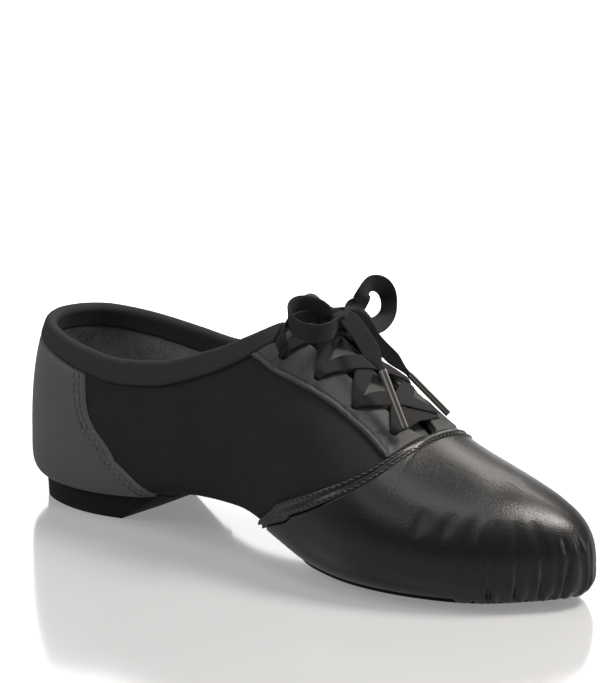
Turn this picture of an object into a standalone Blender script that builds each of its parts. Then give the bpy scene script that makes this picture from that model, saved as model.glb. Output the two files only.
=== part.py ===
"""A soft split-sole jazz shoe for the right foot, laced and tied, standing on its soles.

The shoe points along +X, its inner side faces +Y and the floor is z = 0. Every piece is laid out on one
surface, the outside of the stretch upper. A rib of that surface stands in a vertical plane through a
point of the spine, which runs down the middle of the last, and a point of the outline, the widest line
around the shoe. Along a rib v runs from -1 under the spine through 0 at the widest line to 1 on the
crest, and t numbers the ribs from the back of the heel to the tip of the toe.
"""

import bpy
import numpy as np

MM = 0.001

# Sizes of the last
LENGTH = 244 * MM
BALL_WIDTH = 80 * MM
COLLAR_HEIGHT = 71 * MM
INSTEP_HEIGHT = 94 * MM
ARCH_HEIGHT = 13.5 * MM
TOE_SPRING = 3.2 * MM
THROAT_WIDTH = 26 * MM

# Thicknesses, widths and clearances
GAP = 0.3 * MM
PATCH_GAP = 0.4 * MM
WALL = 1.8 * MM
LEATHER = 1.0 * MM
SEAM_BAND_THICKNESS = 1.5 * MM
BINDING_WIDTH = 7.0 * MM
BINDING_THICKNESS = 0.9 * MM
BINDING_GAP = 0.6 * MM
HEEL_HEIGHT = 7.2 * MM
SOLE_THICKNESS = 1.6 * MM
SOLE_BED = 0.5 * MM
INSOLE_THICKNESS = 2.2 * MM
INSOLE_GAP = 0.6 * MM
TONGUE_THICKNESS = 1.8 * MM
TONGUE_GAP = 0.6 * MM
TONGUE_SIDE = 8.0 * MM
TONGUE_RISE = 13.0 * MM

# Laces
HOLE_DIAMETER = 3.4 * MM
LACE_WIDTH = 5.0 * MM
LACE_THICKNESS = 1.0 * MM
LACE_LIFT = 0.5 * MM
LACE_BASE = PATCH_GAP + LEATHER + LACE_LIFT
LACE_STEP = 0.3 * MM
LACE_OVERRUN = 0.05
CORD_DIAMETER = 3.6 * MM
KNOT_DIAMETER = 8.0 * MM
AGLET_DIAMETER = 3.0 * MM

# One row per station from the back of the heel to the tip of the toe. The spine and the x of the outline
# are shares of LENGTH, its y a share of BALL_WIDTH. The height of the widest line and of the collar's
# rim are shares of COLLAR_HEIGHT. The powers bend the rib below and above the widest line: 2 is an
# ellipse, more is squarer.
STATION_COLUMNS = (
    "spine", "right_x", "right_y", "left_x", "left_y",
    "widest", "lower_power", "upper_power", "rim_right", "rim_left",
)
STATIONS = (
    (0.125, 0.000, 0.000, 0.000, 0.000, 0.380, 5.0, 2.50, 1.000, 1.000),
    (0.128, 0.010, -0.122, 0.010, 0.122, 0.380, 5.0, 2.50, 0.997, 1.003),
    (0.137, 0.038, -0.249, 0.038, 0.249, 0.380, 5.0, 2.50, 0.983, 0.998),
    (0.158, 0.088, -0.335, 0.088, 0.335, 0.380, 5.0, 2.50, 0.952, 0.978),
    (0.195, 0.150, -0.365, 0.150, 0.367, 0.380, 5.0, 2.50, 0.912, 0.955),
    (0.250, 0.228, -0.365, 0.228, 0.367, 0.380, 4.2, 2.50, 0.882, 0.924),
    (0.320, 0.307, -0.358, 0.307, 0.352, 0.380, 3.2, 2.48, 0.907, 0.898),
    (0.395, 0.388, -0.353, 0.388, 0.338, 0.380, 2.5, 2.40, 0.994, 0.940),
    (0.470, 0.467, -0.365, 0.467, 0.342, 0.375, 2.4, 2.25, 1.120, 1.070),
    (0.540, 0.542, -0.405, 0.542, 0.387, 0.360, 2.8, 2.10, 1.280, 1.240),
    (0.610, 0.615, -0.460, 0.615, 0.450, 0.332, 3.4, 2.00, 1.450, 1.410),
    (0.680, 0.690, -0.492, 0.690, 0.497, 0.296, 3.9, 1.97, 1.550, 1.550),
    (0.745, 0.762, -0.475, 0.768, 0.507, 0.262, 4.1, 2.00, 1.550, 1.550),
    (0.805, 0.838, -0.402, 0.852, 0.465, 0.235, 4.0, 2.08, 1.550, 1.550),
    (0.855, 0.908, -0.282, 0.930, 0.362, 0.215, 3.7, 2.18, 1.550, 1.550),
    (0.885, 0.960, -0.127, 0.981, 0.228, 0.204, 3.4, 2.26, 1.550, 1.550),
    (0.895, 1.000, 0.062, 1.000, 0.062, 0.200, 3.2, 2.30, 1.550, 1.550),
)
LAST_RIB = len(STATIONS) - 1

# x of the centre line as a share of LENGTH, its y as a share of BALL_WIDTH
CENTRE_LINE = ((0.0, 0.0), (0.3, -0.003), (0.6, -0.004), (0.8, 0.019), (0.9, 0.04), (1.0, 0.062))

# x as a share of LENGTH, then how much of the seat, the arch and the toe spring lifts the underside there
UNDERSIDE = (
    (0.00, 1.00, 0.00, 0.00),
    (0.20, 1.00, 0.00, 0.00),
    (0.28, 0.75, 0.25, 0.00),
    (0.38, 0.00, 1.00, 0.00),
    (0.47, 0.00, 0.95, 0.00),
    (0.56, 0.00, 0.40, 0.00),
    (0.63, 0.00, 0.07, 0.00),
    (0.69, 0.00, 0.00, 0.00),
    (0.82, 0.00, 0.00, 0.00),
    (0.90, 0.00, 0.00, 0.38),
    (1.00, 0.00, 0.00, 1.00),
)

# x as a share of LENGTH, height of the crest as a share of INSTEP_HEIGHT
CREST = (
    (0.000, 0.960), (0.125, 0.965), (0.250, 0.980), (0.400, 0.993), (0.470, 0.993), (0.515, 0.962),
    (0.560, 0.888), (0.620, 0.780), (0.680, 0.662), (0.740, 0.553), (0.800, 0.482), (0.860, 0.431),
    (0.900, 0.400), (1.000, 0.309),
)

# x as a share of LENGTH, width of the throat's opening as a share of THROAT_WIDTH
THROAT = (
    (0.00, 1.00), (0.50, 1.00), (0.56, 0.88), (0.62, 0.75), (0.68, 0.60), (0.72, 0.46), (0.737, 0.30),
    (0.746, 0.00), (1.00, 0.00),
)

# Where the pieces begin and end: rib number, then v
SEAT_AND_TREAD_WINDOWS = (
    (0.0, -0.80), (4.0, -0.80), (5.0, -0.88), (5.6, -1.00), (9.7, -1.00), (10.3, -0.80), (11.0, -0.68),
    (16.0, -0.66),
)
COUNTER_LOWER_EDGE = -0.50
COUNTER_FRONT = (
    (-0.52, 6.00), (-0.21, 5.70), (-0.03, 5.32), (0.02, 4.90), (0.06, 4.60), (0.11, 4.42), (0.18, 4.34),
    (0.28, 4.28), (0.40, 4.22),
)
VAMP_LOWER_EDGE = -0.38
VAMP_SEAM = (
    (8.70, -0.38), (8.95, -0.17), (9.30, -0.01), (9.80, 0.07), (10.30, 0.15), (10.80, 0.26),
    (11.20, 0.38), (11.50, 0.51), (11.75, 0.69), (11.90, 0.86), (12.00, 1.00), (16.0, 1.00),
)
SEAM_BAND_EDGE = (
    (8.95, -0.38), (9.20, -0.20), (9.80, -0.02), (10.30, 0.06), (10.70, 0.14), (11.10, 0.24),
    (11.40, 0.33), (11.70, 0.47), (11.90, 0.62), (12.10, 0.83), (12.22, 1.00), (16.0, 1.00),
)
STAY_LOWER_EDGE = (
    (8.10, 0.50), (8.70, 0.49), (9.30, 0.53), (9.90, 0.58), (10.60, 0.62), (11.10, 0.63), (11.60, 0.61),
    (12.00, 0.60),
)
STAY_FIRST_RIB = 8.1
BINDING_LAST_RIB = 8.6
COLLAR_CORNER_RIBS = (8.15, 8.5, BINDING_LAST_RIB, 8.8, 9.15)
SOLE_EDGE = (
    (9.25, -1.00), (9.45, -0.78), (9.80, -0.58), (10.30, -0.48), (11.0, -0.46), (16.0, -0.46),
)
HEEL_LAST_RIB = 6.0
HEEL_EDGE = -0.54
INSOLE_EDGE = (
    (0.0, -0.62), (5.0, -0.62), (7.0, -0.74), (9.0, -0.74), (11.0, -0.60), (16.0, -0.60),
)

# The heel's breast slopes: x as a share of LENGTH at the heel's top, then at the floor
BREAST = ((0.0, 0.0), (0.16, 0.16), (0.33, 0.238))

# Rib number, half width of the tongue as a share of the throat's half width plus the tongue's side
TONGUE_OUTLINE = ((9.0, 0.50), (9.4, 0.58), (9.9, 0.84), (10.6, 0.86), (11.6, 0.72), (12.6, 0.58))
# Share of the rise, lean towards the heel and half width, each as a share of TONGUE_RISE
TONGUE_TOP = ((0.5, 0.12, 0.80), (1.0, 0.34, 0.72))

# Lace holes from the top one down: rib number and v
HOLES = ((8.92, 0.60), (9.76, 0.665), (10.63, 0.71), (11.46, 0.78))
# The run from a top hole to the knot: rib number, v, height above the upper as a share of KNOT_DIAMETER
LACE_RISE = ((9.10, 0.74, 0.44), (9.32, 0.88, 0.50), (9.48, 0.97, 0.43))

# Rows of v shared by the pieces laid on the upper
ROWS = (-1.0, -0.78, -0.60, -0.44, -0.28, -0.12, 0.05, 0.21, 0.37, 0.53, 0.67, 0.79, 0.90, 1.0)
SNAP = 0.025
# Stations where the outline stops turning around the heel, and starts to turn around the toe
HEEL_TURN = 4
TOE_TURN = 12

# The centre lines of the knot, the loops, the ends and their aglets: x, y and z in thousandths of LENGTH,
# BALL_WIDTH and INSTEP_HEIGHT
KNOT_ROUTE = ((582, -62, 960), (583, 12, 963), (582, 88, 960))
NEAR_LOOP_ROUTE = (
    (576, -81, 977), (569, -110, 996), (555, -150, 1009), (545, -202, 1009), (548, -262, 991),
    (563, -301, 965), (585, -308, 944), (603, -265, 936), (605, -180, 936), (589, -81, 936),
)
FAR_LOOP_ROUTE = (
    (583, 117, 981), (588, 136, 1028), (587, 188, 1057), (589, 266, 1047), (590, 331, 997),
    (593, 330, 933), (596, 261, 897), (596, 178, 895), (590, 105, 936),
)
NEAR_END_ROUTE = ((602, -25, 951), (629, -62, 917), (658, -100, 867), (684, -125, 809))
NEAR_AGLET_ROUTE = ((686, -126, 803), (738, -170, 606))
FAR_END_ROUTE = ((605, 54, 944), (616, 104, 876), (632, 150, 819), (646, 195, 769), (655, 220, 738))
FAR_AGLET_ROUTE = ((657, 226, 732), (714, 297, 586))


def clear_scene():
    """Remove every object of the open file."""
    for item in list(bpy.data.objects):
        bpy.data.objects.remove(item, do_unlink=True)


def table_column(table, index):
    """One column of a table as an array."""
    return np.array([row[index] for row in table], float)


def station(name):
    """One named column of the stations as an array."""
    return table_column(STATIONS, STATION_COLUMNS.index(name))


def natural_spline(knots, values, x):
    """A cubic through the values with no bend at its ends."""
    steps = np.diff(knots)
    slopes = np.diff(values) / steps
    matrix = np.eye(len(knots))
    right = np.zeros(len(knots))
    for i in range(1, len(knots) - 1):
        matrix[i, i - 1:i + 2] = steps[i - 1], 2 * (steps[i - 1] + steps[i]), steps[i]
        right[i] = 6 * (slopes[i] - slopes[i - 1])
    bend = np.linalg.solve(matrix, right)
    x = np.clip(x, knots[0], knots[-1])
    i = np.clip(np.searchsorted(knots, x, side="right") - 1, 0, len(knots) - 2)
    past = x - knots[i]
    left = steps[i] - past
    cubic = (bend[i] * left ** 3 + bend[i + 1] * past ** 3) / (6 * steps[i])
    line_left = (values[i] / steps[i] - bend[i] * steps[i] / 6) * left
    line_right = (values[i + 1] / steps[i] - bend[i + 1] * steps[i] / 6) * past
    return cubic + line_left + line_right


def monotone_curve(table, x):
    """A smooth curve through a table's first two columns that never overshoots them."""
    knots = table_column(table, 0)
    values = table_column(table, 1)
    steps = np.diff(knots)
    slopes = np.diff(values) / steps
    tangents = np.concatenate([slopes[:1], np.zeros(len(knots) - 2), slopes[-1:]])
    for i in range(1, len(knots) - 1):
        if slopes[i - 1] * slopes[i] > 0:
            before = 2 * steps[i] + steps[i - 1]
            after = steps[i] + 2 * steps[i - 1]
            tangents[i] = (before + after) / (before / slopes[i - 1] + after / slopes[i])
    x = np.clip(x, knots[0], knots[-1])
    i = np.clip(np.searchsorted(knots, x, side="right") - 1, 0, len(knots) - 2)
    u = (x - knots[i]) / steps[i]
    from_left = (1 + 2 * u) * (1 - u) ** 2 * values[i] + u * (1 - u) ** 2 * steps[i] * tangents[i]
    from_right = u * u * (3 - 2 * u) * values[i + 1] + u * u * (u - 1) * steps[i] * tangents[i + 1]
    return from_left + from_right


def ring_spline(values, x):
    """A closed cubic through values that are one step apart."""
    count = len(values)
    matrix = 4 * np.eye(count) + np.roll(np.eye(count), 1, 0) + np.roll(np.eye(count), -1, 0)
    bend = np.linalg.solve(matrix, 6 * (np.roll(values, -1) - 2 * values + np.roll(values, 1)))
    i = np.floor(x).astype(int) % count
    past = x - np.floor(x)
    left = 1 - past
    k = (i + 1) % count
    cubic = (bend[i] * left ** 3 + bend[k] * past ** 3) / 6
    return cubic + (values[i] - bend[i] / 6) * left + (values[k] - bend[k] / 6) * past


def along_ribs(name, t):
    """A station's column read smoothly at any rib number."""
    return natural_spline(np.arange(LAST_RIB + 1.0), station(name), t)


def crest_height(x):
    """Height of the crest above the floor at x."""
    return INSTEP_HEIGHT * natural_spline(table_column(CREST, 0), table_column(CREST, 1), x / LENGTH)


def underside_height(x):
    """Height of the upper's underside above the floor at x."""
    tread = SOLE_THICKNESS + GAP
    lifts = (HEEL_HEIGHT + GAP - tread, ARCH_HEIGHT - tread, TOE_SPRING)
    shares = [[(row[0], row[1 + k]) for row in UNDERSIDE] for k in range(3)]
    return tread + sum(lift * monotone_curve(share, x / LENGTH) for lift, share in zip(lifts, shares))


def folded(t, side):
    """Carry a rib number past the heel or the toe over to the other side."""
    beyond = (t < 0) | (t > LAST_RIB)
    t = np.abs(t)
    t = np.where(t > LAST_RIB, 2 * LAST_RIB - t, t)
    return t, np.where(beyond, -side, side)


def rib_line(t, side):
    """The spine's point of a rib, and its point of the outline, both in plan."""
    right = side < 0
    ring = np.where(right, t, 2 * LAST_RIB - t)
    ring_x = np.concatenate([station("right_x"), station("left_x")[-2:0:-1]])
    ring_y = np.concatenate([station("right_y"), station("left_y")[-2:0:-1]])
    spine_x = along_ribs("spine", t) * LENGTH
    spine_y = BALL_WIDTH * monotone_curve(CENTRE_LINE, spine_x / LENGTH)
    outline_x = LENGTH * ring_spline(ring_x, ring)
    outline_y = BALL_WIDTH * ring_spline(ring_y, ring)
    return spine_x, spine_y, outline_x, outline_y


def rib_point(t, side, v):
    """A point of the upper's outside: two superellipse quarters, tilted along the crest's slope."""
    t, side = folded(t, side)
    spine_x, spine_y, outline_x, outline_y = rib_line(t, side)
    reach = np.hypot(outline_x - spine_x, outline_y - spine_y)
    along = (outline_x - spine_x) / reach
    across = (outline_y - spine_y) / reach
    angle = np.abs(v) * np.pi / 2
    power = np.where(v > 0, along_ribs("upper_power", t), along_ribs("lower_power", t))
    out = np.where(np.abs(v) < 1, np.abs(np.cos(angle)), 0.0) ** (2 / power)
    up = np.abs(np.sin(angle)) ** (2 / power)
    widest = COLLAR_HEIGHT * along_ribs("widest", t)
    slope = (crest_height(spine_x + MM) - crest_height(spine_x - MM)) / (2 * MM)
    tilt = slope * along * reach * out * (1 - out * out)
    above = widest + (crest_height(spine_x) - widest) * up + tilt
    below = widest - (widest - underside_height(spine_x)) * up
    z = np.where(v > 0, above, below)
    return np.stack([spine_x + along * reach * out, spine_y + across * reach * out, z], -1)


def unit(vectors):
    """Vectors of length one."""
    return vectors / np.linalg.norm(vectors, axis=-1, keepdims=True)


def rib_normal(t, side, v):
    """The outward normal of the upper's outside, the same from both sides on the crest and the spine."""
    step = 0.02
    limit = 0.96
    inner_v = np.clip(v, -limit, limit)

    def one_side(which):
        by_t = rib_point(t + step, which, inner_v) - rib_point(t - step, which, inner_v)
        by_v = rib_point(t, which, inner_v + step) - rib_point(t, which, inner_v - step)
        return unit(np.cross(by_t, by_v) * -np.asarray(which)[..., None])

    both = one_side(side) + one_side(-side)
    return np.where((np.abs(v) > limit)[..., None], unit(both), one_side(side))


def on_upper(t, side, v, offset):
    """Points at a distance outward from the upper's outside."""
    t, side, v = np.broadcast_arrays(np.asarray(t, float), np.asarray(side, float), np.asarray(v, float))
    return rib_point(t, side, v) + rib_normal(t, side, v) * np.asarray(offset)[..., None]


def v_beside_crest(t, side, half):
    """v of the point that lies a distance in plan from the spine."""
    spine_x, spine_y, outline_x, outline_y = rib_line(t, side)
    reach = np.hypot(outline_x - spine_x, outline_y - spine_y)
    share = np.clip(half / reach, 0, 1)
    return np.arccos(share ** (along_ribs("upper_power", t) / 2)) * 2 / np.pi


def rim_v(t, side):
    """v of the upper's top edge: the collar's rim, then the throat's edge, rounded where they meet."""
    t, side = folded(np.asarray(t, float), np.asarray(side, float))
    crest_x = along_ribs("spine", t) * LENGTH
    widest = COLLAR_HEIGHT * along_ribs("widest", t)
    right_rim = monotone_curve(list(enumerate(station("rim_right"))), t)
    left_rim = monotone_curve(list(enumerate(station("rim_left"))), t)
    rim = COLLAR_HEIGHT * np.where(side < 0, right_rim, left_rim)
    rise = np.clip((rim - widest) / (crest_height(crest_x) - widest), 0, 1)
    collar = np.arcsin(rise ** (along_ribs("upper_power", t) / 2)) * 2 / np.pi
    throat = v_beside_crest(t, side, THROAT_WIDTH / 2 * monotone_curve(THROAT, crest_x / LENGTH))
    rounding = 0.03
    rounded = (collar + throat - np.hypot(collar - throat, rounding)) / 2
    return np.where(throat > 0.999, 1.0, rounded)


def v_below(t, side, v, distance):
    """v of the point a distance down the rib from v."""
    step = 0.02
    pace = np.linalg.norm(rib_point(t, side, v) - rib_point(t, side, v - step), axis=-1) / step
    return v - distance / pace


def rib_numbers(first, last, extra=()):
    """Rib numbers three to a station around the heel and the toe and two between, plus any others."""
    thirds = np.arange(0, 3 * LAST_RIB + 1) / 3
    halves = np.arange(2 * HEEL_TURN, 2 * TOE_TURN + 1) / 2
    thirds = thirds[(thirds <= HEEL_TURN) | (thirds >= TOE_TURN)]
    numbers = np.unique(np.round(np.concatenate([thirds, halves, extra, [first, last]]), 4))
    return numbers[(numbers >= first) & (numbers <= last)]


def around(first, last, extra=()):
    """Ribs of both sides: a ring where they pass the heel and the toe, else an arc past one of them."""
    numbers = rib_numbers(first, last, extra)
    right = [(t, -1.0) for t in numbers]
    left = [(t, 1.0) for t in numbers[::-1]]
    if first <= 0 and last >= LAST_RIB:
        return right + left[1:]
    if first <= 0:
        return left + right[1:]
    return right + left[1:]


def clamped(rows, low, high):
    """The shared rows held between two edges, with rows close to an edge moved onto it."""
    grid = np.clip(np.broadcast_to(rows, (len(low), len(rows))), low[:, None], high[:, None])
    grid = np.where(grid - low[:, None] < SNAP, low[:, None], grid)
    return np.where(high[:, None] - grid < SNAP, high[:, None], grid)


def join_corners(points):
    """Number the distinct points of a grid, which may fold onto itself."""
    keys = np.round((points.reshape(-1, 3) + 1.2345e-4) / 2e-6).astype(np.int64)
    unused, first, index = np.unique(keys, axis=0, return_index=True, return_inverse=True)
    return first, index.reshape(points.shape[:-1])


def grid_triangles(index):
    """Two triangles for each cell of a grid of point numbers, leaving out the collapsed ones."""
    a, b = index[:-1, :-1].ravel(), index[1:, :-1].ravel()
    c, d = index[1:, 1:].ravel(), index[:-1, 1:].ravel()
    faces = np.concatenate([np.stack([a, b, c], 1), np.stack([a, c, d], 1)])
    distinct = (faces[:, 0] != faces[:, 1]) & (faces[:, 1] != faces[:, 2]) & (faces[:, 2] != faces[:, 0])
    return faces[distinct]


def open_edges(faces):
    """Edges that only one triangle has, in its own order."""
    edges = np.concatenate([faces[:, [0, 1]], faces[:, [1, 2]], faces[:, [2, 0]]])
    present = {tuple(edge) for edge in edges.tolist()}
    return np.array([edge for edge in edges.tolist() if (edge[1], edge[0]) not in present])


def close_between(inner, outer, faces):
    """A closed solid from two copies of one sheet, with walls along the sheet's edges."""
    count = len(inner)
    rim = open_edges(faces)
    wall_low = np.stack([rim[:, 0], rim[:, 1], rim[:, 1] + count], 1)
    wall_high = np.stack([rim[:, 0], rim[:, 1] + count, rim[:, 0] + count], 1)
    shell = [faces[:, ::-1], faces + count, wall_low, wall_high]
    return np.concatenate([inner, outer]), np.concatenate(shell)


def volume_of(points, faces):
    """Signed volume inside a closed set of triangles."""
    a, b, c = points[faces[:, 0]], points[faces[:, 1]], points[faces[:, 2]]
    return float(np.einsum("ij,ij->i", a, np.cross(b, c)).sum() / 6)


def material(name, colour, roughness, coat=0.0):
    """A plain material with one colour."""
    made = bpy.data.materials.get(name) or bpy.data.materials.new(name)
    made.use_nodes = True
    shader = made.node_tree.nodes["Principled BSDF"]
    shader.inputs["Base Color"].default_value = (*colour, 1.0)
    shader.inputs["Roughness"].default_value = roughness
    shader.inputs["Metallic"].default_value = 0.0
    shader.inputs["Coat Weight"].default_value = coat
    return made


def materials():
    """The shoe's materials by name."""
    return {
        "stretch_fabric": material("stretch_fabric", (0.022, 0.022, 0.023), 0.85),
        "soft_leather": material("soft_leather", (0.035, 0.034, 0.034), 0.42, 0.25),
        "grey_leather": material("grey_leather", (0.058, 0.058, 0.058), 0.60),
        "stay_leather": material("stay_leather", (0.060, 0.058, 0.056), 0.55, 0.10),
        "knit_binding": material("knit_binding", (0.034, 0.034, 0.035), 0.90),
        "lining": material("lining", (0.075, 0.073, 0.070), 0.95),
        "rubber": material("rubber", (0.015, 0.015, 0.016), 0.65),
        "lace_tape": material("lace_tape", (0.048, 0.048, 0.049), 0.88),
        "aglet_film": material("aglet_film", (0.070, 0.068, 0.066), 0.30, 0.50),
    }


def add_object(name, points, faces, look):
    """An object from points and triangles, facing out and smooth over its gentle edges."""
    if volume_of(points, faces) < 0:
        faces = faces[:, ::-1]
    mesh = bpy.data.meshes.new(name)
    mesh.from_pydata(points.tolist(), [], faces.tolist())
    mesh.materials.append(look)
    mesh.shade_smooth()
    mesh.set_sharp_from_angle(angle=np.radians(40))
    item = bpy.data.objects.new(name, mesh)
    bpy.context.collection.objects.link(item)
    return item


def stand_on_heel_centre():
    """Hang every object on an empty, so that the centre of the heel's tread is the origin."""
    pieces = list(bpy.data.objects)
    last = bpy.data.objects.new("last", None)
    bpy.context.collection.objects.link(last)
    last.location.x = -STATIONS[0][0] * LENGTH
    for piece in pieces:
        piece.parent = last


def patch_of(t, side, v):
    """Distinct points, normals and triangles of a grid of rib numbers, sides and v."""
    first, index = join_corners(rib_point(t, side, v))
    flat = [np.broadcast_to(grid, v.shape).ravel()[first] for grid in (t, side, v)]
    return rib_point(*flat), rib_normal(*flat), grid_triangles(index)


def sheet(ribs, low, high, front=None):
    """A patch of the upper over some ribs, between two edges and back from a seam across the ribs."""
    t, side = np.array(ribs).T
    v = clamped(np.array(ROWS), low(t, side), high(t, side))
    t = np.broadcast_to(t[:, None], v.shape)
    side = np.broadcast_to(side[:, None], v.shape)
    if front is not None:
        seam = monotone_curve(front, v)
        t = np.where(seam - t < 0.06, seam, t)
        v = np.minimum(v, high(t, side))
    return patch_of(t, side, v)


def shell(name, look, patch, inner, outer):
    """A solid between two distances from the upper's outside."""
    points, normals, faces = patch
    solid = close_between(points + normals * inner, points + normals * outer, faces)
    return add_object(name, *solid, look)


def table_edge(table):
    """An edge given by a table of rib numbers and v."""
    return lambda t, side: monotone_curve(table, t)


def level(v):
    """An edge at one v."""
    return lambda t, side: np.full_like(t, v)


def cutters(name, places, diameter, depth):
    """Hidden eight-sided pins through the upper at places given by rib, side and v."""
    group = bpy.data.collections.new(name)
    bpy.context.scene.collection.children.link(group)
    turns = np.arange(8) * np.pi / 4 + np.pi / 8
    for number, (t, side, v) in enumerate(places):
        centre = on_upper(t, side, v, 0.0)
        axis = on_upper(t, side, v, 1.0) - centre
        first = unit(np.cross(axis, (0.0, 1.0, 0.0)))
        second = np.cross(axis, first)
        ring = np.outer(np.cos(turns), first) + np.outer(np.sin(turns), second)
        circle = centre + ring * diameter / 2
        points = np.concatenate([circle - axis * depth, circle + axis * depth])
        pin = bpy.data.meshes.new(f"{name}_{number}")
        walls = [(k, (k + 1) % 8, (k + 1) % 8 + 8, k + 8) for k in range(8)]
        ends = [tuple(range(7, -1, -1)), tuple(range(8, 16))]
        pin.from_pydata(points.tolist(), [], walls + ends)
        item = bpy.data.objects.new(pin.name, pin)
        item.hide_render = True
        item.display_type = "WIRE"
        group.objects.link(item)
    return group


def boolean(item, operation, group):
    """Cut an object with a group of hidden ones, or join them to it."""
    modifier = item.modifiers.new(group.name, "BOOLEAN")
    modifier.operation = operation
    modifier.operand_type = "COLLECTION"
    modifier.collection = group
    modifier.solver = "EXACT"


def hole_places():
    """The lace holes of both sides."""
    return [(t, side, v) for t, v in HOLES for side in (-1.0, 1.0)]


def rib_share(distance):
    """A distance along the shoe as a share of the mean step between stations."""
    return distance * LAST_RIB / LENGTH


def binding_edge(t, side):
    """Lower edge of the collar's binding, with room for the piece below it."""
    return v_below(t, side, rim_v(t, side), BINDING_WIDTH + 2 * GAP)


def upper_body(looks, holes):
    """The stretch upper: open at the collar and the throat, and under the seat and the tread."""
    patch = sheet(around(0, LAST_RIB, COLLAR_CORNER_RIBS), table_edge(SEAT_AND_TREAD_WINDOWS), rim_v)
    item = shell("upper_body", looks["stretch_fabric"], patch, -WALL, 0.0)
    boolean(item, "DIFFERENCE", holes)


def heel_counter(looks):
    """The leather cup around the heel, up to the collar's binding and forward to its slanting seam."""
    ribs = around(0, COUNTER_FRONT[0][1])
    patch = sheet(ribs, level(COUNTER_LOWER_EDGE), binding_edge, COUNTER_FRONT)
    shell("heel_counter", looks["grey_leather"], patch, PATCH_GAP, PATCH_GAP + LEATHER)


def vamp(looks):
    """The toe's leather, from under the outline up to the seam band across the instep."""
    def band_edge(t, side):
        return monotone_curve(SEAM_BAND_EDGE, t - rib_share(2 * GAP))

    steep = [9.1, 9.2, 11.5, 11.8, 11.9, 12.1, 12.2]
    patch = sheet(around(8.95, LAST_RIB, steep), level(VAMP_LOWER_EDGE), band_edge)
    shell("vamp", looks["soft_leather"], patch, PATCH_GAP, PATCH_GAP + LEATHER)


def vamp_seam(looks):
    """The raised double-stitched band that joins the vamp to the stretch upper and the lace stays."""
    steep = [8.8, 9.1, 9.2, 11.15, 11.5, 11.6, 11.75, 11.82, 11.9, 11.95, 12.05, 12.1, 12.15]
    ribs = rib_numbers(8.7, SEAM_BAND_EDGE[-2][0], steep)
    t = np.concatenate([ribs, ribs[::-1]])
    side = np.repeat([-1.0, 1.0], len(ribs))
    low = monotone_curve(SEAM_BAND_EDGE, t)
    high = monotone_curve(VAMP_SEAM, t)
    share = np.linspace(0, 1, 4)
    v = low[:, None] + (high - low)[:, None] * share
    grids = [np.broadcast_to(grid[:, None], v.shape) for grid in (t, side)]
    patch = patch_of(grids[0], grids[1], v)
    shell("vamp_seam", looks["soft_leather"], patch, PATCH_GAP, PATCH_GAP + SEAM_BAND_THICKNESS)


def lace_stays(looks, holes):
    """The soft leather stay on each side of the throat, with its lace holes."""
    def lower_edge(t, side):
        seam = monotone_curve(VAMP_SEAM, t + rib_share(2 * GAP))
        stay = monotone_curve(STAY_LOWER_EDGE, t)
        return np.minimum(np.maximum(stay, seam), upper_edge(t, side))

    def upper_edge(t, side):
        turn = np.clip((t - BINDING_LAST_RIB - 0.05) / 0.15, 0, 1)
        under_binding = binding_edge(t, side)
        at_throat = v_below(t, side, rim_v(t, side), 2 * GAP)
        return under_binding + (at_throat - under_binding) * turn

    steep = [8.2, 8.5, 8.65, 8.73, 8.8, 8.9, 11.5, 11.6, 11.75, 11.82, 11.88]
    for name, side in (("lace_stay_right", -1.0), ("lace_stay_left", 1.0)):
        ribs = [(t, side) for t in rib_numbers(STAY_FIRST_RIB, 11.94, steep)]
        patch = sheet(ribs, lower_edge, upper_edge)
        item = shell(name, looks["stay_leather"], patch, PATCH_GAP, PATCH_GAP + LEATHER)
        boolean(item, "DIFFERENCE", holes)


def swept(sections, cap):
    """Points and triangles of a tube through closed sections, with the same cap at both ends."""
    count, sides = sections.shape[:2]
    index = np.arange(count * sides).reshape(count, sides)
    walls = grid_triangles(np.concatenate([index, index[:, :1]], 1))
    cap = np.array(cap)
    ends = [cap, cap[:, ::-1] + (count - 1) * sides]
    return sections.reshape(-1, 3), np.concatenate([walls, *ends])


def collar_binding(looks):
    """The knit binding folded over the collar's rim, a channel open downwards."""
    t, side = np.array(around(0, BINDING_LAST_RIB, COLLAR_CORNER_RIBS)).T
    rim = rim_v(t, side)
    low = v_below(t, side, rim, BINDING_WIDTH)
    upward = unit(rib_point(t, side, rim) - rib_point(t, side, rim - 0.02))
    near = BINDING_GAP
    far = BINDING_GAP + BINDING_THICKNESS
    section = (
        (low, far, 0), (rim, far, near), (rim, 0, far), (rim, -WALL, far), (rim, -WALL - far, near),
        (low, -WALL - far, 0), (low, -WALL - near, 0), (rim, -WALL - near, near), (rim, near, near),
        (low, near, 0),
    )
    rows = [on_upper(t, side, v, out) + upward * lift for v, out, lift in section]
    cap = (
        (0, 1, 8), (0, 8, 9), (1, 2, 8), (2, 3, 7), (2, 7, 8), (3, 4, 7), (4, 5, 6), (4, 6, 7),
    )
    add_object("collar_binding", *swept(np.stack(rows, 1), cap), looks["knit_binding"])


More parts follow.
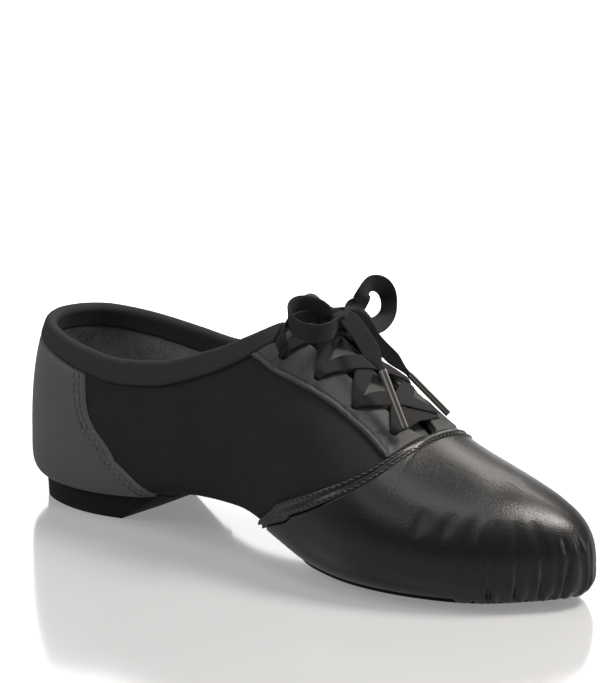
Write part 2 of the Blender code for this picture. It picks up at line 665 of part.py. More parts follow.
def tongue(looks):
    """The tongue: it follows the upper from inside, narrows at the top and stands up out of the throat."""
    ribs = rib_numbers(TONGUE_OUTLINE[0][0], TONGUE_OUTLINE[-1][0])[:, None]
    across = np.linspace(-1, 1, 9)
    side = np.where(across < 0, -1.0, 1.0)
    half = (THROAT_WIDTH / 2 + TONGUE_SIDE) * monotone_curve(TONGUE_OUTLINE, ribs)
    t, side, half = np.broadcast_arrays(ribs, side, half)
    v = 1 - np.abs(across) * (1 - v_beside_crest(t, side, half))
    normals = rib_normal(t, side, v)
    outer = rib_point(t, side, v) - normals * (WALL + TONGUE_GAP)
    inner = outer - normals * TONGUE_THICKNESS
    top_half = half[0, 0]
    for rise, lean, width in TONGUE_TOP:
        lifted = []
        for row in (outer, inner):
            first = row[len(row) - len(ribs)]
            shift = np.array([-lean, 0.0, rise]) * TONGUE_RISE
            narrowed = first * [1, width * TONGUE_RISE / top_half, 1]
            lifted.append(narrowed + shift)
        outer = np.concatenate([lifted[0][None], outer])
        inner = np.concatenate([lifted[1][None], inner])
    index = np.arange(outer[..., 0].size).reshape(outer.shape[:2])
    solid = close_between(inner.reshape(-1, 3), outer.reshape(-1, 3), grid_triangles(index))
    add_object("tongue", *solid, looks["stay_leather"])


def insole(looks):
    """The insole, laid inside on the upper's turned-in edge and bridging the two windows."""
    patch = sheet(around(0, LAST_RIB), level(-1.0), table_edge(INSOLE_EDGE))
    shell("insole", looks["lining"], patch, -WALL - INSOLE_GAP - INSOLE_THICKNESS, -WALL - INSOLE_GAP)


def heel(looks):
    """The low rubber heel: its top follows the upper's seat, its tread is flat and its breast slopes."""
    points, normals, faces = sheet(around(0, HEEL_LAST_RIB), level(-1.0), level(HEEL_EDGE))
    top = points + normals * GAP
    floor = np.stack([LENGTH * monotone_curve(BREAST, top[:, 0] / LENGTH), top[:, 1], 0 * top[:, 2]], 1)
    add_object("heel", *close_between(top, floor, faces), looks["rubber"])


def forefoot_sole(looks):
    """The thin tread under the ball of the foot, flat where it stands and curled up at its edges."""
    patch = sheet(around(SOLE_EDGE[0][0], LAST_RIB, [9.45]), level(-1.0), table_edge(SOLE_EDGE))
    points, normals, faces = patch
    top = points + normals * GAP
    floor = top.copy()
    floor[:, 2] = np.maximum(0, top[:, 2] - SOLE_THICKNESS - SOLE_BED)
    add_object("forefoot_sole", *close_between(top, floor, faces), looks["rubber"])


def tape(points, normals, width, thickness):
    """A flat tape along a line of points on the surface that it lies over."""
    ahead = np.gradient(points, axis=0)
    across = unit(np.cross(normals, ahead)) * width / 2
    thick = normals * thickness
    sections = np.stack([points - across, points + across, points + across + thick,
                         points - across + thick], 1)
    return swept(sections, ((0, 1, 2), (0, 2, 3)))


def lace_run(start, end):
    """A tape from one hole to another over the throat: each hole is a rib number, a side and v."""
    share = np.linspace(-LACE_OVERRUN, 1 + LACE_OVERRUN, 8)
    over = start[1] * (1 - start[2]) + (end[1] * (1 - end[2]) - start[1] * (1 - start[2])) * share
    t = start[0] + (end[0] - start[0]) * share
    side = np.where(over < 0, -1.0, 1.0)
    v = 1 - np.abs(over)
    lift = LACE_BASE + (LACE_STEP if start[1] > 0 else 0)
    return tape(on_upper(t, side, v, lift), rib_normal(t, side, v), LACE_WIDTH, LACE_THICKNESS)


def lace_rise(side):
    """A tape from a top hole up to the knot."""
    rows = [(*HOLES[0], LACE_BASE + LACE_STEP / 2)] + [(t, v, height * KNOT_DIAMETER) for t, v, height in LACE_RISE]
    rows = np.array(rows)
    steps = np.linspace(0, len(rows) - 1, 7)
    t, v, height = (natural_spline(np.arange(float(len(rows))), column, steps) for column in rows.T)
    sides = np.full_like(t, side)
    return tape(on_upper(t, sides, v, height), rib_normal(t, sides, v), LACE_WIDTH, LACE_THICKNESS)


def lace_crossings(looks):
    """The laced part: a bar below, three crossings above it and a rise to the knot from each top hole."""
    lowest = HOLES[-1]
    runs = [lace_run((lowest[0], -1.0, lowest[1]), (lowest[0], 1.0, lowest[1]))]
    for upper_hole, lower_hole in zip(HOLES, HOLES[1:]):
        for side in (-1.0, 1.0):
            runs.append(lace_run((lower_hole[0], side, lower_hole[1]), (upper_hole[0], -side, upper_hole[1])))
    runs += [lace_rise(-1.0), lace_rise(1.0)]
    item = add_object("lace_crossings", *runs[0], looks["lace_tape"])
    group = bpy.data.collections.new("lace_runs")
    bpy.context.scene.collection.children.link(group)
    for number, run in enumerate(runs[1:]):
        guide = add_object(f"lace_run_{number}", *run, looks["lace_tape"])
        guide.hide_render = True
        guide.display_type = "WIRE"
        bpy.context.collection.objects.unlink(guide)
        group.objects.link(guide)
    boolean(item, "UNION", group)


def cord(name, route, diameter, look):
    """A round tube along a smooth line through a route given in thousandths of the shoe's sizes."""
    route = np.array(route) * (LENGTH, BALL_WIDTH, INSTEP_HEIGHT) / 1000
    length = np.linalg.norm(np.diff(route, axis=0), axis=1).sum()
    count = max(3, int(round(length / (2 * diameter))) + 1)
    steps = np.linspace(0, len(route) - 1, count)
    columns = [natural_spline(np.arange(float(len(route))), column, steps) for column in route.T]
    curve = bpy.data.curves.new(name, "CURVE")
    curve.dimensions = "3D"
    curve.bevel_depth = diameter / 2
    curve.bevel_resolution = 2
    curve.use_fill_caps = True
    spline = curve.splines.new("POLY")
    spline.points.add(count - 1)
    for point, place in zip(spline.points, zip(*columns)):
        point.co = (*place, 1.0)
    curve.materials.append(look)
    bpy.context.collection.objects.link(bpy.data.objects.new(name, curve))


def bow(looks):
    """The knot, its two loops and its two ends with their aglets."""
    tape_look = looks["lace_tape"]
    cord("lace_knot", KNOT_ROUTE, KNOT_DIAMETER, tape_look)
    cord("lace_loop_near", NEAR_LOOP_ROUTE, CORD_DIAMETER, tape_look)
    cord("lace_loop_far", FAR_LOOP_ROUTE, CORD_DIAMETER, tape_look)
    cord("lace_end_near", NEAR_END_ROUTE, CORD_DIAMETER, tape_look)
    cord("lace_end_far", FAR_END_ROUTE, CORD_DIAMETER, tape_look)
    cord("aglet_near", NEAR_AGLET_ROUTE, AGLET_DIAMETER, looks["aglet_film"])
    cord("aglet_far", FAR_AGLET_ROUTE, AGLET_DIAMETER, looks["aglet_film"])


def main():
    """Build every piece."""
    clear_scene()
    looks = materials()
    holes = cutters("lace_holes", hole_places(), HOLE_DIAMETER, 3 * WALL)
    upper_body(looks, holes)
    heel_counter(looks)
    vamp(looks)
    vamp_seam(looks)
    lace_stays(looks, holes)
    collar_binding(looks)
    tongue(looks)
    insole(looks)
    heel(looks)
    forefoot_sole(looks)
    lace_crossings(looks)
    bow(looks)
    stand_on_heel_centre()


main()
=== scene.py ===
"""The looks of a soft split-sole jazz shoe: stretch fabric, leather, knit binding, flat laces and rubber.

Every piece is worked out on one surface, the outside of the stretch upper, which is the same as the
solids' surface. A rib of that surface stands in a vertical plane through a point of the spine, which runs
down the middle of the last, and a point of the outline, the widest line around the shoe. Along a rib v
runs from -1 under the spine through 0 at the widest line to 1 on the crest. t numbers the ribs from 0 at
the back of the heel to 16 at the tip of the toe, and side is -1 on the outer side and 1 on the inner one.
"""

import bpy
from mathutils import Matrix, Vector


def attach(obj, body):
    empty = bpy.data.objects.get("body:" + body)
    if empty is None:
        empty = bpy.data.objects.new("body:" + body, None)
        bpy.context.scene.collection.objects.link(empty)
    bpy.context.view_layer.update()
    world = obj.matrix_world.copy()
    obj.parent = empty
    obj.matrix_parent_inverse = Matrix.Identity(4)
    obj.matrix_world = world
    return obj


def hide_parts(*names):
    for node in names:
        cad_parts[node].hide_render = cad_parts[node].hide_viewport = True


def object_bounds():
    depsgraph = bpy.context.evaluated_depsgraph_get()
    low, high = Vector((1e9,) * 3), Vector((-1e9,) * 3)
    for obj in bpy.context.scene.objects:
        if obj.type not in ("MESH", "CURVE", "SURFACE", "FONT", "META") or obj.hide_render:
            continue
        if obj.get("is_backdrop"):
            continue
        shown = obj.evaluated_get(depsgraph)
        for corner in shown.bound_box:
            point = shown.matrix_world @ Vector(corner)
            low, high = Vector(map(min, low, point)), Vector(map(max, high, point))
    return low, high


bl_info = {
    "name": "Jazz Shoe",
    "version": (1, 0, 0),
    "blender": (4, 5, 0),
    "location": "View3D > Sidebar > Jazz Shoe",
    "description": "Builds the pieces, materials, light and camera of a laced split-sole jazz shoe",
    "category": "Add Mesh",
}

from dataclasses import dataclass

import bpy
import numpy as np
from bpy.props import FloatProperty, FloatVectorProperty, PointerProperty
from bpy.types import Operator, Panel, PropertyGroup
from mathutils import Matrix

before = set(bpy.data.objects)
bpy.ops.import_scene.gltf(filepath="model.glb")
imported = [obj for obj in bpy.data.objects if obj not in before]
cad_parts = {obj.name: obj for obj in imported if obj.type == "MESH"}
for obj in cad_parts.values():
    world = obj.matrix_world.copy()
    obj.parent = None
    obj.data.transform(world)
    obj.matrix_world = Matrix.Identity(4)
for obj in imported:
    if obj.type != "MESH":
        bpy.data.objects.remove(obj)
CAD_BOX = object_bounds()

MM = 0.001

# Sizes of the last
LENGTH = 244 * MM
BALL_WIDTH = 80 * MM
COLLAR_HEIGHT = 71 * MM
INSTEP_HEIGHT = 94 * MM
ARCH_HEIGHT = 13.5 * MM
TOE_SPRING = 3.2 * MM
THROAT_WIDTH = 26 * MM

# Thicknesses, widths and clearances
GAP = 0.3 * MM
PATCH_GAP = 0.1 * MM
WALL = 1.8 * MM
LEATHER = 1.3 * MM
SEAM_BAND = 1.8 * MM
BINDING_WIDTH = 7.0 * MM
BINDING_THICKNESS = 0.9 * MM
BINDING_GAP = 0.6 * MM
BINDING_SAVED_AT_HEEL = 1.8 * MM
HEEL_HEIGHT = 7.2 * MM
SOLE_THICKNESS = 1.6 * MM
SOLE_BED = 0.5 * MM
INSOLE_THICKNESS = 2.2 * MM
INSOLE_GAP = 0.6 * MM
TONGUE_THICKNESS = 1.8 * MM
TONGUE_GAP = 0.6 * MM
TONGUE_SIDE = 8.0 * MM
TONGUE_RISE = 11.0 * MM
HOLE_DIAMETER = 3.4 * MM
AGLET_DIAMETER = 3.0 * MM
# How softly the collar's rim turns into the throat's edge, in v
RIM_ROUNDING = 0.03
# How fine the grids are: the distance between ribs
FINE_PACE = 1.2 * MM
UPPER_PACE = 1.6 * MM
# How deep the counter's stitches lie in its leather
STITCH_SINK = 0.05 * MM

# One row per station from the back of the heel to the tip of the toe. The spine and the x of the outline
# are shares of LENGTH, its y a share of BALL_WIDTH. The height of the widest line and of the collar's
# rim are shares of COLLAR_HEIGHT. The powers bend the rib below and above the widest line.
STATION_COLUMNS = (
    "spine", "right_x", "right_y", "left_x", "left_y",
    "widest", "lower_power", "upper_power", "rim_right", "rim_left",
)
STATIONS = (
    (0.125, 0.000, 0.000, 0.000, 0.000, 0.380, 5.0, 2.50, 1.000, 1.000),
    (0.128, 0.010, -0.122, 0.010, 0.122, 0.380, 5.0, 2.50, 0.997, 1.003),
    (0.137, 0.038, -0.249, 0.038, 0.249, 0.380, 5.0, 2.50, 0.983, 0.998),
    (0.158, 0.088, -0.335, 0.088, 0.335, 0.380, 5.0, 2.50, 0.952, 0.978),
    (0.195, 0.150, -0.365, 0.150, 0.367, 0.380, 5.0, 2.50, 0.912, 0.955),
    (0.250, 0.228, -0.365, 0.228, 0.367, 0.380, 4.2, 2.50, 0.882, 0.924),
    (0.320, 0.307, -0.358, 0.307, 0.352, 0.380, 3.2, 2.48, 0.907, 0.898),
    (0.395, 0.388, -0.353, 0.388, 0.338, 0.380, 2.5, 2.40, 0.994, 0.940),
    (0.470, 0.467, -0.365, 0.467, 0.342, 0.375, 2.4, 2.25, 1.120, 1.070),
    (0.540, 0.542, -0.405, 0.542, 0.387, 0.360, 2.8, 2.10, 1.280, 1.240),
    (0.610, 0.615, -0.460, 0.615, 0.450, 0.332, 3.4, 2.00, 1.450, 1.410),
    (0.680, 0.690, -0.492, 0.690, 0.497, 0.296, 3.9, 1.97, 1.550, 1.550),
    (0.745, 0.762, -0.475, 0.768, 0.507, 0.262, 4.1, 2.00, 1.550, 1.550),
    (0.805, 0.838, -0.402, 0.852, 0.465, 0.235, 4.0, 2.08, 1.550, 1.550),
    (0.855, 0.908, -0.282, 0.930, 0.362, 0.215, 3.7, 2.18, 1.550, 1.550),
    (0.885, 0.960, -0.127, 0.981, 0.228, 0.204, 3.4, 2.26, 1.550, 1.550),
    (0.895, 1.000, 0.062, 1.000, 0.062, 0.200, 3.2, 2.30, 1.550, 1.550),
)
LAST_RIB = len(STATIONS) - 1
HEEL_CENTRE = STATIONS[0][0] * LENGTH

# x of the centre line as a share of LENGTH, its y as a share of BALL_WIDTH
CENTRE_LINE = ((0.0, 0.0), (0.3, -0.003), (0.6, -0.004), (0.8, 0.019), (0.9, 0.04), (1.0, 0.062))

# x as a share of LENGTH, then how much of the seat, the arch and the toe spring lifts the underside there
UNDERSIDE = (
    (0.00, 1.00, 0.00, 0.00), (0.20, 1.00, 0.00, 0.00), (0.28, 0.75, 0.25, 0.00),
    (0.38, 0.00, 1.00, 0.00), (0.47, 0.00, 0.95, 0.00), (0.56, 0.00, 0.40, 0.00),
    (0.63, 0.00, 0.07, 0.00), (0.69, 0.00, 0.00, 0.00), (0.82, 0.00, 0.00, 0.00),
    (0.90, 0.00, 0.00, 0.38), (1.00, 0.00, 0.00, 1.00),
)

# x as a share of LENGTH, height of the crest as a share of INSTEP_HEIGHT
CREST = (
    (0.000, 0.960), (0.125, 0.965), (0.250, 0.980), (0.400, 0.993), (0.470, 0.993), (0.515, 0.962),
    (0.560, 0.888), (0.620, 0.780), (0.680, 0.662), (0.740, 0.553), (0.800, 0.482), (0.860, 0.431),
    (0.900, 0.400), (1.000, 0.309),
)

# x as a share of LENGTH, width of the throat's opening as a share of THROAT_WIDTH
THROAT = (
    (0.00, 1.00), (0.50, 1.00), (0.56, 0.88), (0.62, 0.75), (0.68, 0.60), (0.72, 0.46), (0.737, 0.30),
    (0.746, 0.00), (1.00, 0.00),
)

# Where the pieces begin and end: rib number, then v
WINDOWS = (
    (0.0, -0.80), (4.0, -0.80), (5.0, -0.88), (5.6, -1.00), (9.7, -1.00), (10.3, -0.80), (11.0, -0.68),
    (16.0, -0.66),
)
COUNTER_LOWER_EDGE = -0.50
# How many puckers the counter's front seam has in a rib's v from 0 to 1
COUNTER_PUCKERS = 38
COUNTER_FRONT = (
    (-0.52, 6.00), (-0.21, 5.70), (-0.03, 5.32), (0.02, 4.90), (0.06, 4.60), (0.11, 4.42), (0.18, 4.34),
    (0.28, 4.28), (0.40, 4.22),
)
VAMP_LOWER_EDGE = -0.46
VAMP_FIRST_RIB = 8.95
VAMP_SEAM = (
    (8.50, -0.62), (8.70, -0.38), (8.95, -0.17), (9.30, -0.01), (9.80, 0.07), (10.30, 0.15), (10.80, 0.26),
    (11.20, 0.38), (11.50, 0.51), (11.75, 0.69), (11.90, 0.86), (12.00, 1.00),
)
SEAM_BAND_EDGE = (
    (8.75, -0.62), (8.95, -0.38), (9.20, -0.20), (9.80, -0.02), (10.30, 0.06), (10.70, 0.14), (11.10, 0.24),
    (11.40, 0.33), (11.70, 0.47), (11.90, 0.62), (12.10, 0.83), (12.22, 1.00),
)
STAY_LOWER_EDGE = (
    (8.10, 0.50), (8.70, 0.49), (9.30, 0.53), (9.90, 0.58), (10.60, 0.62), (11.10, 0.63), (11.60, 0.61),
    (12.00, 0.60),
)
STAY_FIRST_RIB = 8.1
STAY_LAST_RIB = 11.96
BINDING_LAST_RIB = 8.6
SOLE_EDGE = (
    (9.25, -1.00), (9.45, -0.78), (9.80, -0.58), (10.30, -0.48), (11.0, -0.46), (16.0, -0.46),
)
HEEL_LAST_RIB = 6.0
HEEL_EDGE = -0.54
INSOLE_EDGE = (
    (0.0, -0.62), (5.0, -0.62), (7.0, -0.74), (9.0, -0.74), (11.0, -0.60), (16.0, -0.60),
)

# The fabric's soft pulls on both sides: rib number and v, then the width
FABRIC_PULLS = (
    (((8.3, 0.46), (8.8, 0.2), (9.1, -0.02)), 5 * MM),
    (((6.0, 0.35), (7.2, 0.1), (8.2, -0.2)), 6 * MM),
)
FABRIC_PULL_DEPTH = 0.35 * MM
# Pleats under the toe, numbered like the ribs up the outer side and on past 16 down the inner one
PLEATS = (
    13.40, 13.75, 14.05, 14.30, 14.60, 14.85, 15.10, 15.35, 15.56, 15.88, 16.18, 16.42, 16.70, 16.95, 17.25,
    17.55, 17.90, 18.30,
)
# Stitches and ridges run along the band at these shares of its width
BAND_ROWS = (0.24, 0.76)
# The band's stitches end above this v, where it turns under the shoe
BAND_STITCHES_END = -0.36
# Pleats and creases drawn as routes of rib number, side and v
SHARP_PLEATS = (
    ((15.56, -1, -0.30), (15.56, -1, -0.06), (15.60, -1, 0.09), (15.56, -1, 0.19), (15.55, -1, 0.33)),
    ((15.99, -1, -0.30), (15.99, -1, 0.00), (15.88, -1, 0.15), (15.88, -1, 0.37)),
    ((15.10, -1, -0.30), (15.10, -1, -0.05), (15.08, -1, 0.14)),
    ((14.60, -1, -0.30), (14.60, -1, -0.08), (14.58, -1, 0.10)),
    ((14.05, -1, -0.30), (14.05, -1, -0.08), (14.03, -1, 0.08)),
    ((15.82, 1, -0.30), (15.84, 1, 0.05), (15.80, 1, 0.22)),
    ((15.30, 1, -0.30), (15.30, 1, -0.05), (15.28, 1, 0.15)),
    ((14.75, 1, -0.30), (14.75, 1, -0.08), (14.72, 1, 0.12)),
)
SOFT_CREASES = (
    ((12.70, -1, 0.16), (12.80, -1, 0.42)),
    ((13.10, -1, 0.08), (13.20, -1, 0.30), (13.35, -1, 0.46)),
    ((13.60, -1, 0.08), (13.68, -1, 0.34), (13.85, -1, 0.55)),
    ((14.15, -1, 0.10), (14.18, -1, 0.48)),
    ((14.62, -1, 0.12), (14.58, -1, 0.50)),
    ((15.08, -1, 0.12), (15.00, -1, 0.52)),
    ((14.30, 1, 0.10), (14.25, 1, 0.50)),
    ((13.50, 1, 0.10), (13.60, 1, 0.50)),
)
CREST_DIP = ((14.05, -1, 0.70), (14.16, -1, 0.95), (14.22, -1, 1.15))

BREAST = ((0.0, 0.0), (0.16, 0.16), (0.33, 0.238))
TONGUE_OUTLINE = ((9.0, 0.50), (9.4, 0.58), (9.9, 0.84), (10.6, 0.86), (11.6, 0.72), (12.6, 0.58))
TONGUE_TOP = ((0.5, 0.12, 0.80), (1.0, 0.34, 0.72))
HOLES = ((8.92, 0.60), (9.76, 0.665), (10.63, 0.71), (11.46, 0.78))
# Height over the upper's outside at which a tape ends in its hole
TAPE_IN_HOLE = -1.5 * MM

# The centre lines of the loops, the ends and their aglets, and the knot's centre: x, y and z in
# thousandths of LENGTH, BALL_WIDTH and INSTEP_HEIGHT
NEAR_LOOP_ROUTE = (
    (576, -81, 977), (569, -110, 996), (555, -150, 1009), (545, -202, 1009), (548, -262, 991),
    (563, -301, 965), (585, -308, 944), (603, -265, 936), (605, -180, 936), (589, -81, 936),
)
FAR_LOOP_ROUTE = (
    (583, 117, 981), (588, 136, 1028), (587, 188, 1057), (589, 266, 1047), (590, 331, 997),
    (593, 330, 933), (596, 261, 897), (596, 178, 895), (590, 105, 936),
)
NEAR_END_ROUTE = ((602, -25, 951), (629, -62, 917), (658, -100, 867), (684, -125, 809))
NEAR_AGLET_ROUTE = ((686, -126, 803), (738, -170, 606))
FAR_END_ROUTE = ((605, 54, 944), (616, 104, 876), (632, 150, 819), (646, 195, 769), (655, 220, 738))
FAR_AGLET_ROUTE = ((657, 226, 732), (714, 297, 586))
KNOT_PLACE = (583, 12, 962)
# Loops of the bow: name, route, the axis that the tape's width follows, how much it flares, the share of
# its length over which it widens from the knot, and its share of the tape's width
LOOPS = (
    ("near", NEAR_LOOP_ROUTE, (0.15, -0.24, 0.96), 0.0, 0.26, 1.0),
    ("far", FAR_LOOP_ROUTE, (0.58, -0.78, 0.24), 1.5, 0.10, 0.95),
)
# Ends: name, their route, the aglet's route, their share of the tape's width, the aglet's share of
# AGLET_DIAMETER, and how far they hang below the route
ENDS = (
    ("near", NEAR_END_ROUTE, NEAR_AGLET_ROUTE, 0.9, 1.0, 0.0),
    ("far", FAR_END_ROUTE, FAR_AGLET_ROUTE, 0.7, 0.8, 1.6 * MM),
)
# The knot: how far it lies below its place, half its length, its bundle's width and thickness, and the
# half widths along x and z of the tape that wraps it
KNOT_DROP = 1.4 * MM
KNOT_REACH = 7.0 * MM
KNOT_BUNDLE = (6.4 * MM, 4.6 * MM)
KNOT_WRAP = (3.3 * MM, 3.0 * MM)
# The tape from the outer top hole bulges out beside the near loop on its way to the knot
NEAR_RISE_ROUTE = ((547, -300, 893), (543, -268, 934), (545, -190, 958), (560, -80, 960))
# The way that the flat side of the ends faces
LACE_END_FACING = (0.575, -0.782, 0.238)

# The camera of the photograph: its place in millimetres, its angles in degrees and its lens
CAMERA_PLACE = (637.8, -699.6, 290.1)
CAMERA_AZIMUTH = 36.33
CAMERA_ELEVATION = 13.78
CAMERA_ROLL = 1.146
CAMERA_LENS = 127.5

# Lamps: name, azimuth and elevation in degrees, distance, width and height in metres, radiance and how
# warm the light is. The lamps look at a point of the shoe in millimetres.
LAMPS = (
    ("behind_toe", 131, 55, 1.2, 0.42, 0.34, 38.0, 0.10),
    ("behind_instep", 186, 36, 1.2, 0.34, 0.26, 8.5, 0.10),
    ("fill", 40, 76, 1.2, 0.52, 0.52, 4.4, 0.0),
    ("front", 8, 42, 1.2, 0.50, 0.40, 2.4, 0.0),
    ("left", -46, 32, 1.2, 0.44, 0.44, 6.6, 0.0),
    ("right", 112, 18, 1.2, 0.40, 0.40, 5.5, 0.05),
    ("backdrop", 216.33, 13, 3.0, 1.50, 1.50, 2.6, 0.0),
)
LAMP_TARGET = (60, 0, 40)
ROOM_LIGHT = 0.15
# The floor's glow: metres behind the shoe, then how strong it is there
FLOOR_GLOW = ((0.12, 0.24), (0.40, 1.0))
FLOOR_REACH = 4.0
FLOOR_DROP = 0.02 * MM


def column(table, index):
    """One column of a table as an array."""
    return np.array([row[index] for row in table], float)


def station(name):
    """One named column of the stations as an array."""
    return column(STATIONS, STATION_COLUMNS.index(name))


def walked_along(points):
    """How far each point of a line lies from the first one, along the line."""
    return np.concatenate([[0], np.cumsum(np.linalg.norm(np.diff(points, axis=0), axis=1))])


def natural_spline(knots, values, x):
    """A cubic through the values with no bend at its ends."""
    steps = np.diff(knots)
    slopes = np.diff(values) / steps
    matrix = np.eye(len(knots))
    right = np.zeros(len(knots))
    for i in range(1, len(knots) - 1):
        matrix[i, i - 1:i + 2] = steps[i - 1], 2 * (steps[i - 1] + steps[i]), steps[i]
        right[i] = 6 * (slopes[i] - slopes[i - 1])
    bend = np.linalg.solve(matrix, right)
    x = np.clip(x, knots[0], knots[-1])
    i = np.clip(np.searchsorted(knots, x, side="right") - 1, 0, len(knots) - 2)
    past = x - knots[i]
    left = steps[i] - past
    cubic = (bend[i] * left ** 3 + bend[i + 1] * past ** 3) / (6 * steps[i])
    line_left = (values[i] / steps[i] - bend[i] * steps[i] / 6) * left
    line_right = (values[i + 1] / steps[i] - bend[i + 1] * steps[i] / 6) * past
    return cubic + line_left + line_right


def monotone_curve(table, x):
    """A smooth curve through a table's first two columns that never overshoots them."""
    knots = column(table, 0)
    values = column(table, 1)
    steps = np.diff(knots)
    slopes = np.diff(values) / steps
    tangents = np.concatenate([slopes[:1], np.zeros(len(knots) - 2), slopes[-1:]])
    for i in range(1, len(knots) - 1):
        if slopes[i - 1] * slopes[i] > 0:
            before = 2 * steps[i] + steps[i - 1]
            after = steps[i] + 2 * steps[i - 1]
            tangents[i] = (before + after) / (before / slopes[i - 1] + after / slopes[i])
    x = np.clip(x, knots[0], knots[-1])
    i = np.clip(np.searchsorted(knots, x, side="right") - 1, 0, len(knots) - 2)
    u = (x - knots[i]) / steps[i]
    from_left = (1 + 2 * u) * (1 - u) ** 2 * values[i] + u * (1 - u) ** 2 * steps[i] * tangents[i]
    from_right = u * u * (3 - 2 * u) * values[i + 1] + u * u * (u - 1) * steps[i] * tangents[i + 1]
    return from_left + from_right


def ring_spline(values, x):
    """A closed cubic through values that are one step apart."""
    count = len(values)
    matrix = 4 * np.eye(count) + np.roll(np.eye(count), 1, 0) + np.roll(np.eye(count), -1, 0)
    bend = np.linalg.solve(matrix, 6 * (np.roll(values, -1) - 2 * values + np.roll(values, 1)))
    i = np.floor(x).astype(int) % count
    past = x - np.floor(x)
    left = 1 - past
    k = (i + 1) % count
    cubic = (bend[i] * left ** 3 + bend[k] * past ** 3) / 6
    return cubic + (values[i] - bend[i] / 6) * left + (values[k] - bend[k] / 6) * past


def along_ribs(name, t):
    """A station's column read smoothly at any rib number."""
    return natural_spline(np.arange(LAST_RIB + 1.0), station(name), t)


def crest_height(x):
    """Height of the crest above the floor at x."""
    return INSTEP_HEIGHT * natural_spline(column(CREST, 0), column(CREST, 1), x / LENGTH)


def underside_height(x):
    """Height of the upper's underside above the floor at x."""
    tread = SOLE_THICKNESS + GAP
    lifts = (HEEL_HEIGHT + GAP - tread, ARCH_HEIGHT - tread, TOE_SPRING)
    shares = [[(row[0], row[1 + k]) for row in UNDERSIDE] for k in range(3)]
    return tread + sum(lift * monotone_curve(share, x / LENGTH) for lift, share in zip(lifts, shares))


def folded(t, side, v):
    """Carry a place past the heel or the toe, or over the crest or the spine, to the other side."""
    over = np.abs(v) > 1
    v = np.where(over, np.sign(v) * (2 - np.abs(v)), v)
    beyond = (t < 0) | (t > LAST_RIB)
    t = np.abs(t)
    t = np.where(t > LAST_RIB, 2 * LAST_RIB - t, t)
    return t, np.where(beyond ^ over, -side, side), v


def rib_line(t, side):
    """The spine's point of a rib, and its point of the outline, both in plan."""
    ring = np.where(side < 0, t, 2 * LAST_RIB - t)
    ring_x = np.concatenate([station("right_x"), station("left_x")[-2:0:-1]])
    ring_y = np.concatenate([station("right_y"), station("left_y")[-2:0:-1]])
    spine_x = along_ribs("spine", t) * LENGTH
    spine_y = BALL_WIDTH * monotone_curve(CENTRE_LINE, spine_x / LENGTH)
    return spine_x, spine_y, LENGTH * ring_spline(ring_x, ring), BALL_WIDTH * ring_spline(ring_y, ring)


def rib_point(t, side, v):
    """A point of the upper's outside: two superellipse quarters, tilted along the crest's slope."""
    t, side, v = folded(*np.broadcast_arrays(t, side, v))
    spine_x, spine_y, outline_x, outline_y = rib_line(t, side)
    reach = np.hypot(outline_x - spine_x, outline_y - spine_y)
    along = (outline_x - spine_x) / reach
    across = (outline_y - spine_y) / reach
    angle = np.abs(v) * np.pi / 2
    power = np.where(v > 0, along_ribs("upper_power", t), along_ribs("lower_power", t))
    out = np.where(np.abs(v) < 1, np.abs(np.cos(angle)), 0.0) ** (2 / power)
    up = np.abs(np.sin(angle)) ** (2 / power)
    widest = COLLAR_HEIGHT * along_ribs("widest", t)
    slope = (crest_height(spine_x + MM) - crest_height(spine_x - MM)) / (2 * MM)
    tilt = slope * along * reach * out * (1 - out * out)
    above = widest + (crest_height(spine_x) - widest) * up + tilt
    below = widest - (widest - underside_height(spine_x)) * up
    z = np.where(v > 0, above, below)
    return np.stack([spine_x + along * reach * out, spine_y + across * reach * out, z], -1)


def unit(vectors):
    """Vectors of length one."""
    return vectors / np.maximum(np.linalg.norm(vectors, axis=-1, keepdims=True), 1e-12)


def rib_normal(t, side, v, step=0.03):
    """The outward normal of the upper's outside, from differences along and across the ribs."""
    t, side, v = np.broadcast_arrays(np.asarray(t, float), np.asarray(side, float), np.asarray(v, float))
    by_t = rib_point(t + step, side, v) - rib_point(t - step, side, v)
    by_v = rib_point(t, side, v + step) - rib_point(t, side, v - step)
    return unit(np.cross(by_t, by_v) * -side[..., None])


def on_upper(t, side, v, offset):
    """Points at a distance outward from the upper's outside."""
    return rib_point(t, side, v) + rib_normal(t, side, v) * np.asarray(offset)[..., None]


def v_beside_crest(t, side, half):
    """v of the point that lies a distance in plan from the spine."""
    spine_x, spine_y, outline_x, outline_y = rib_line(t, side)
    reach = np.hypot(outline_x - spine_x, outline_y - spine_y)
    share = np.clip(half / reach, 0, 1)
    return np.arccos(share ** (along_ribs("upper_power", t) / 2)) * 2 / np.pi


def rim_v(t, side):
    """v of the upper's top edge: the collar's rim, then the throat's edge, rounded where they meet."""
    crest_x = along_ribs("spine", t) * LENGTH
    widest = COLLAR_HEIGHT * along_ribs("widest", t)
    right_rim = monotone_curve(list(enumerate(station("rim_right"))), t)
    left_rim = monotone_curve(list(enumerate(station("rim_left"))), t)
    rim = COLLAR_HEIGHT * np.where(side < 0, right_rim, left_rim)
    rise = np.clip((rim - widest) / (crest_height(crest_x) - widest), 0, 1)
    collar = np.arcsin(rise ** (along_ribs("upper_power", t) / 2)) * 2 / np.pi
    throat = v_beside_crest(t, side, THROAT_WIDTH / 2 * monotone_curve(THROAT, crest_x / LENGTH))
    rounded = (collar + throat - np.hypot(collar - throat, RIM_ROUNDING)) / 2
    return np.where(throat > 0.999, 1.0, rounded)


def v_below(t, side, v, distance):
    """v of the point a distance down the rib from v."""
    step = 0.02
    pace = np.linalg.norm(rib_point(t, side, v) - rib_point(t, side, v - step), axis=-1) / step
    return v - distance / pace


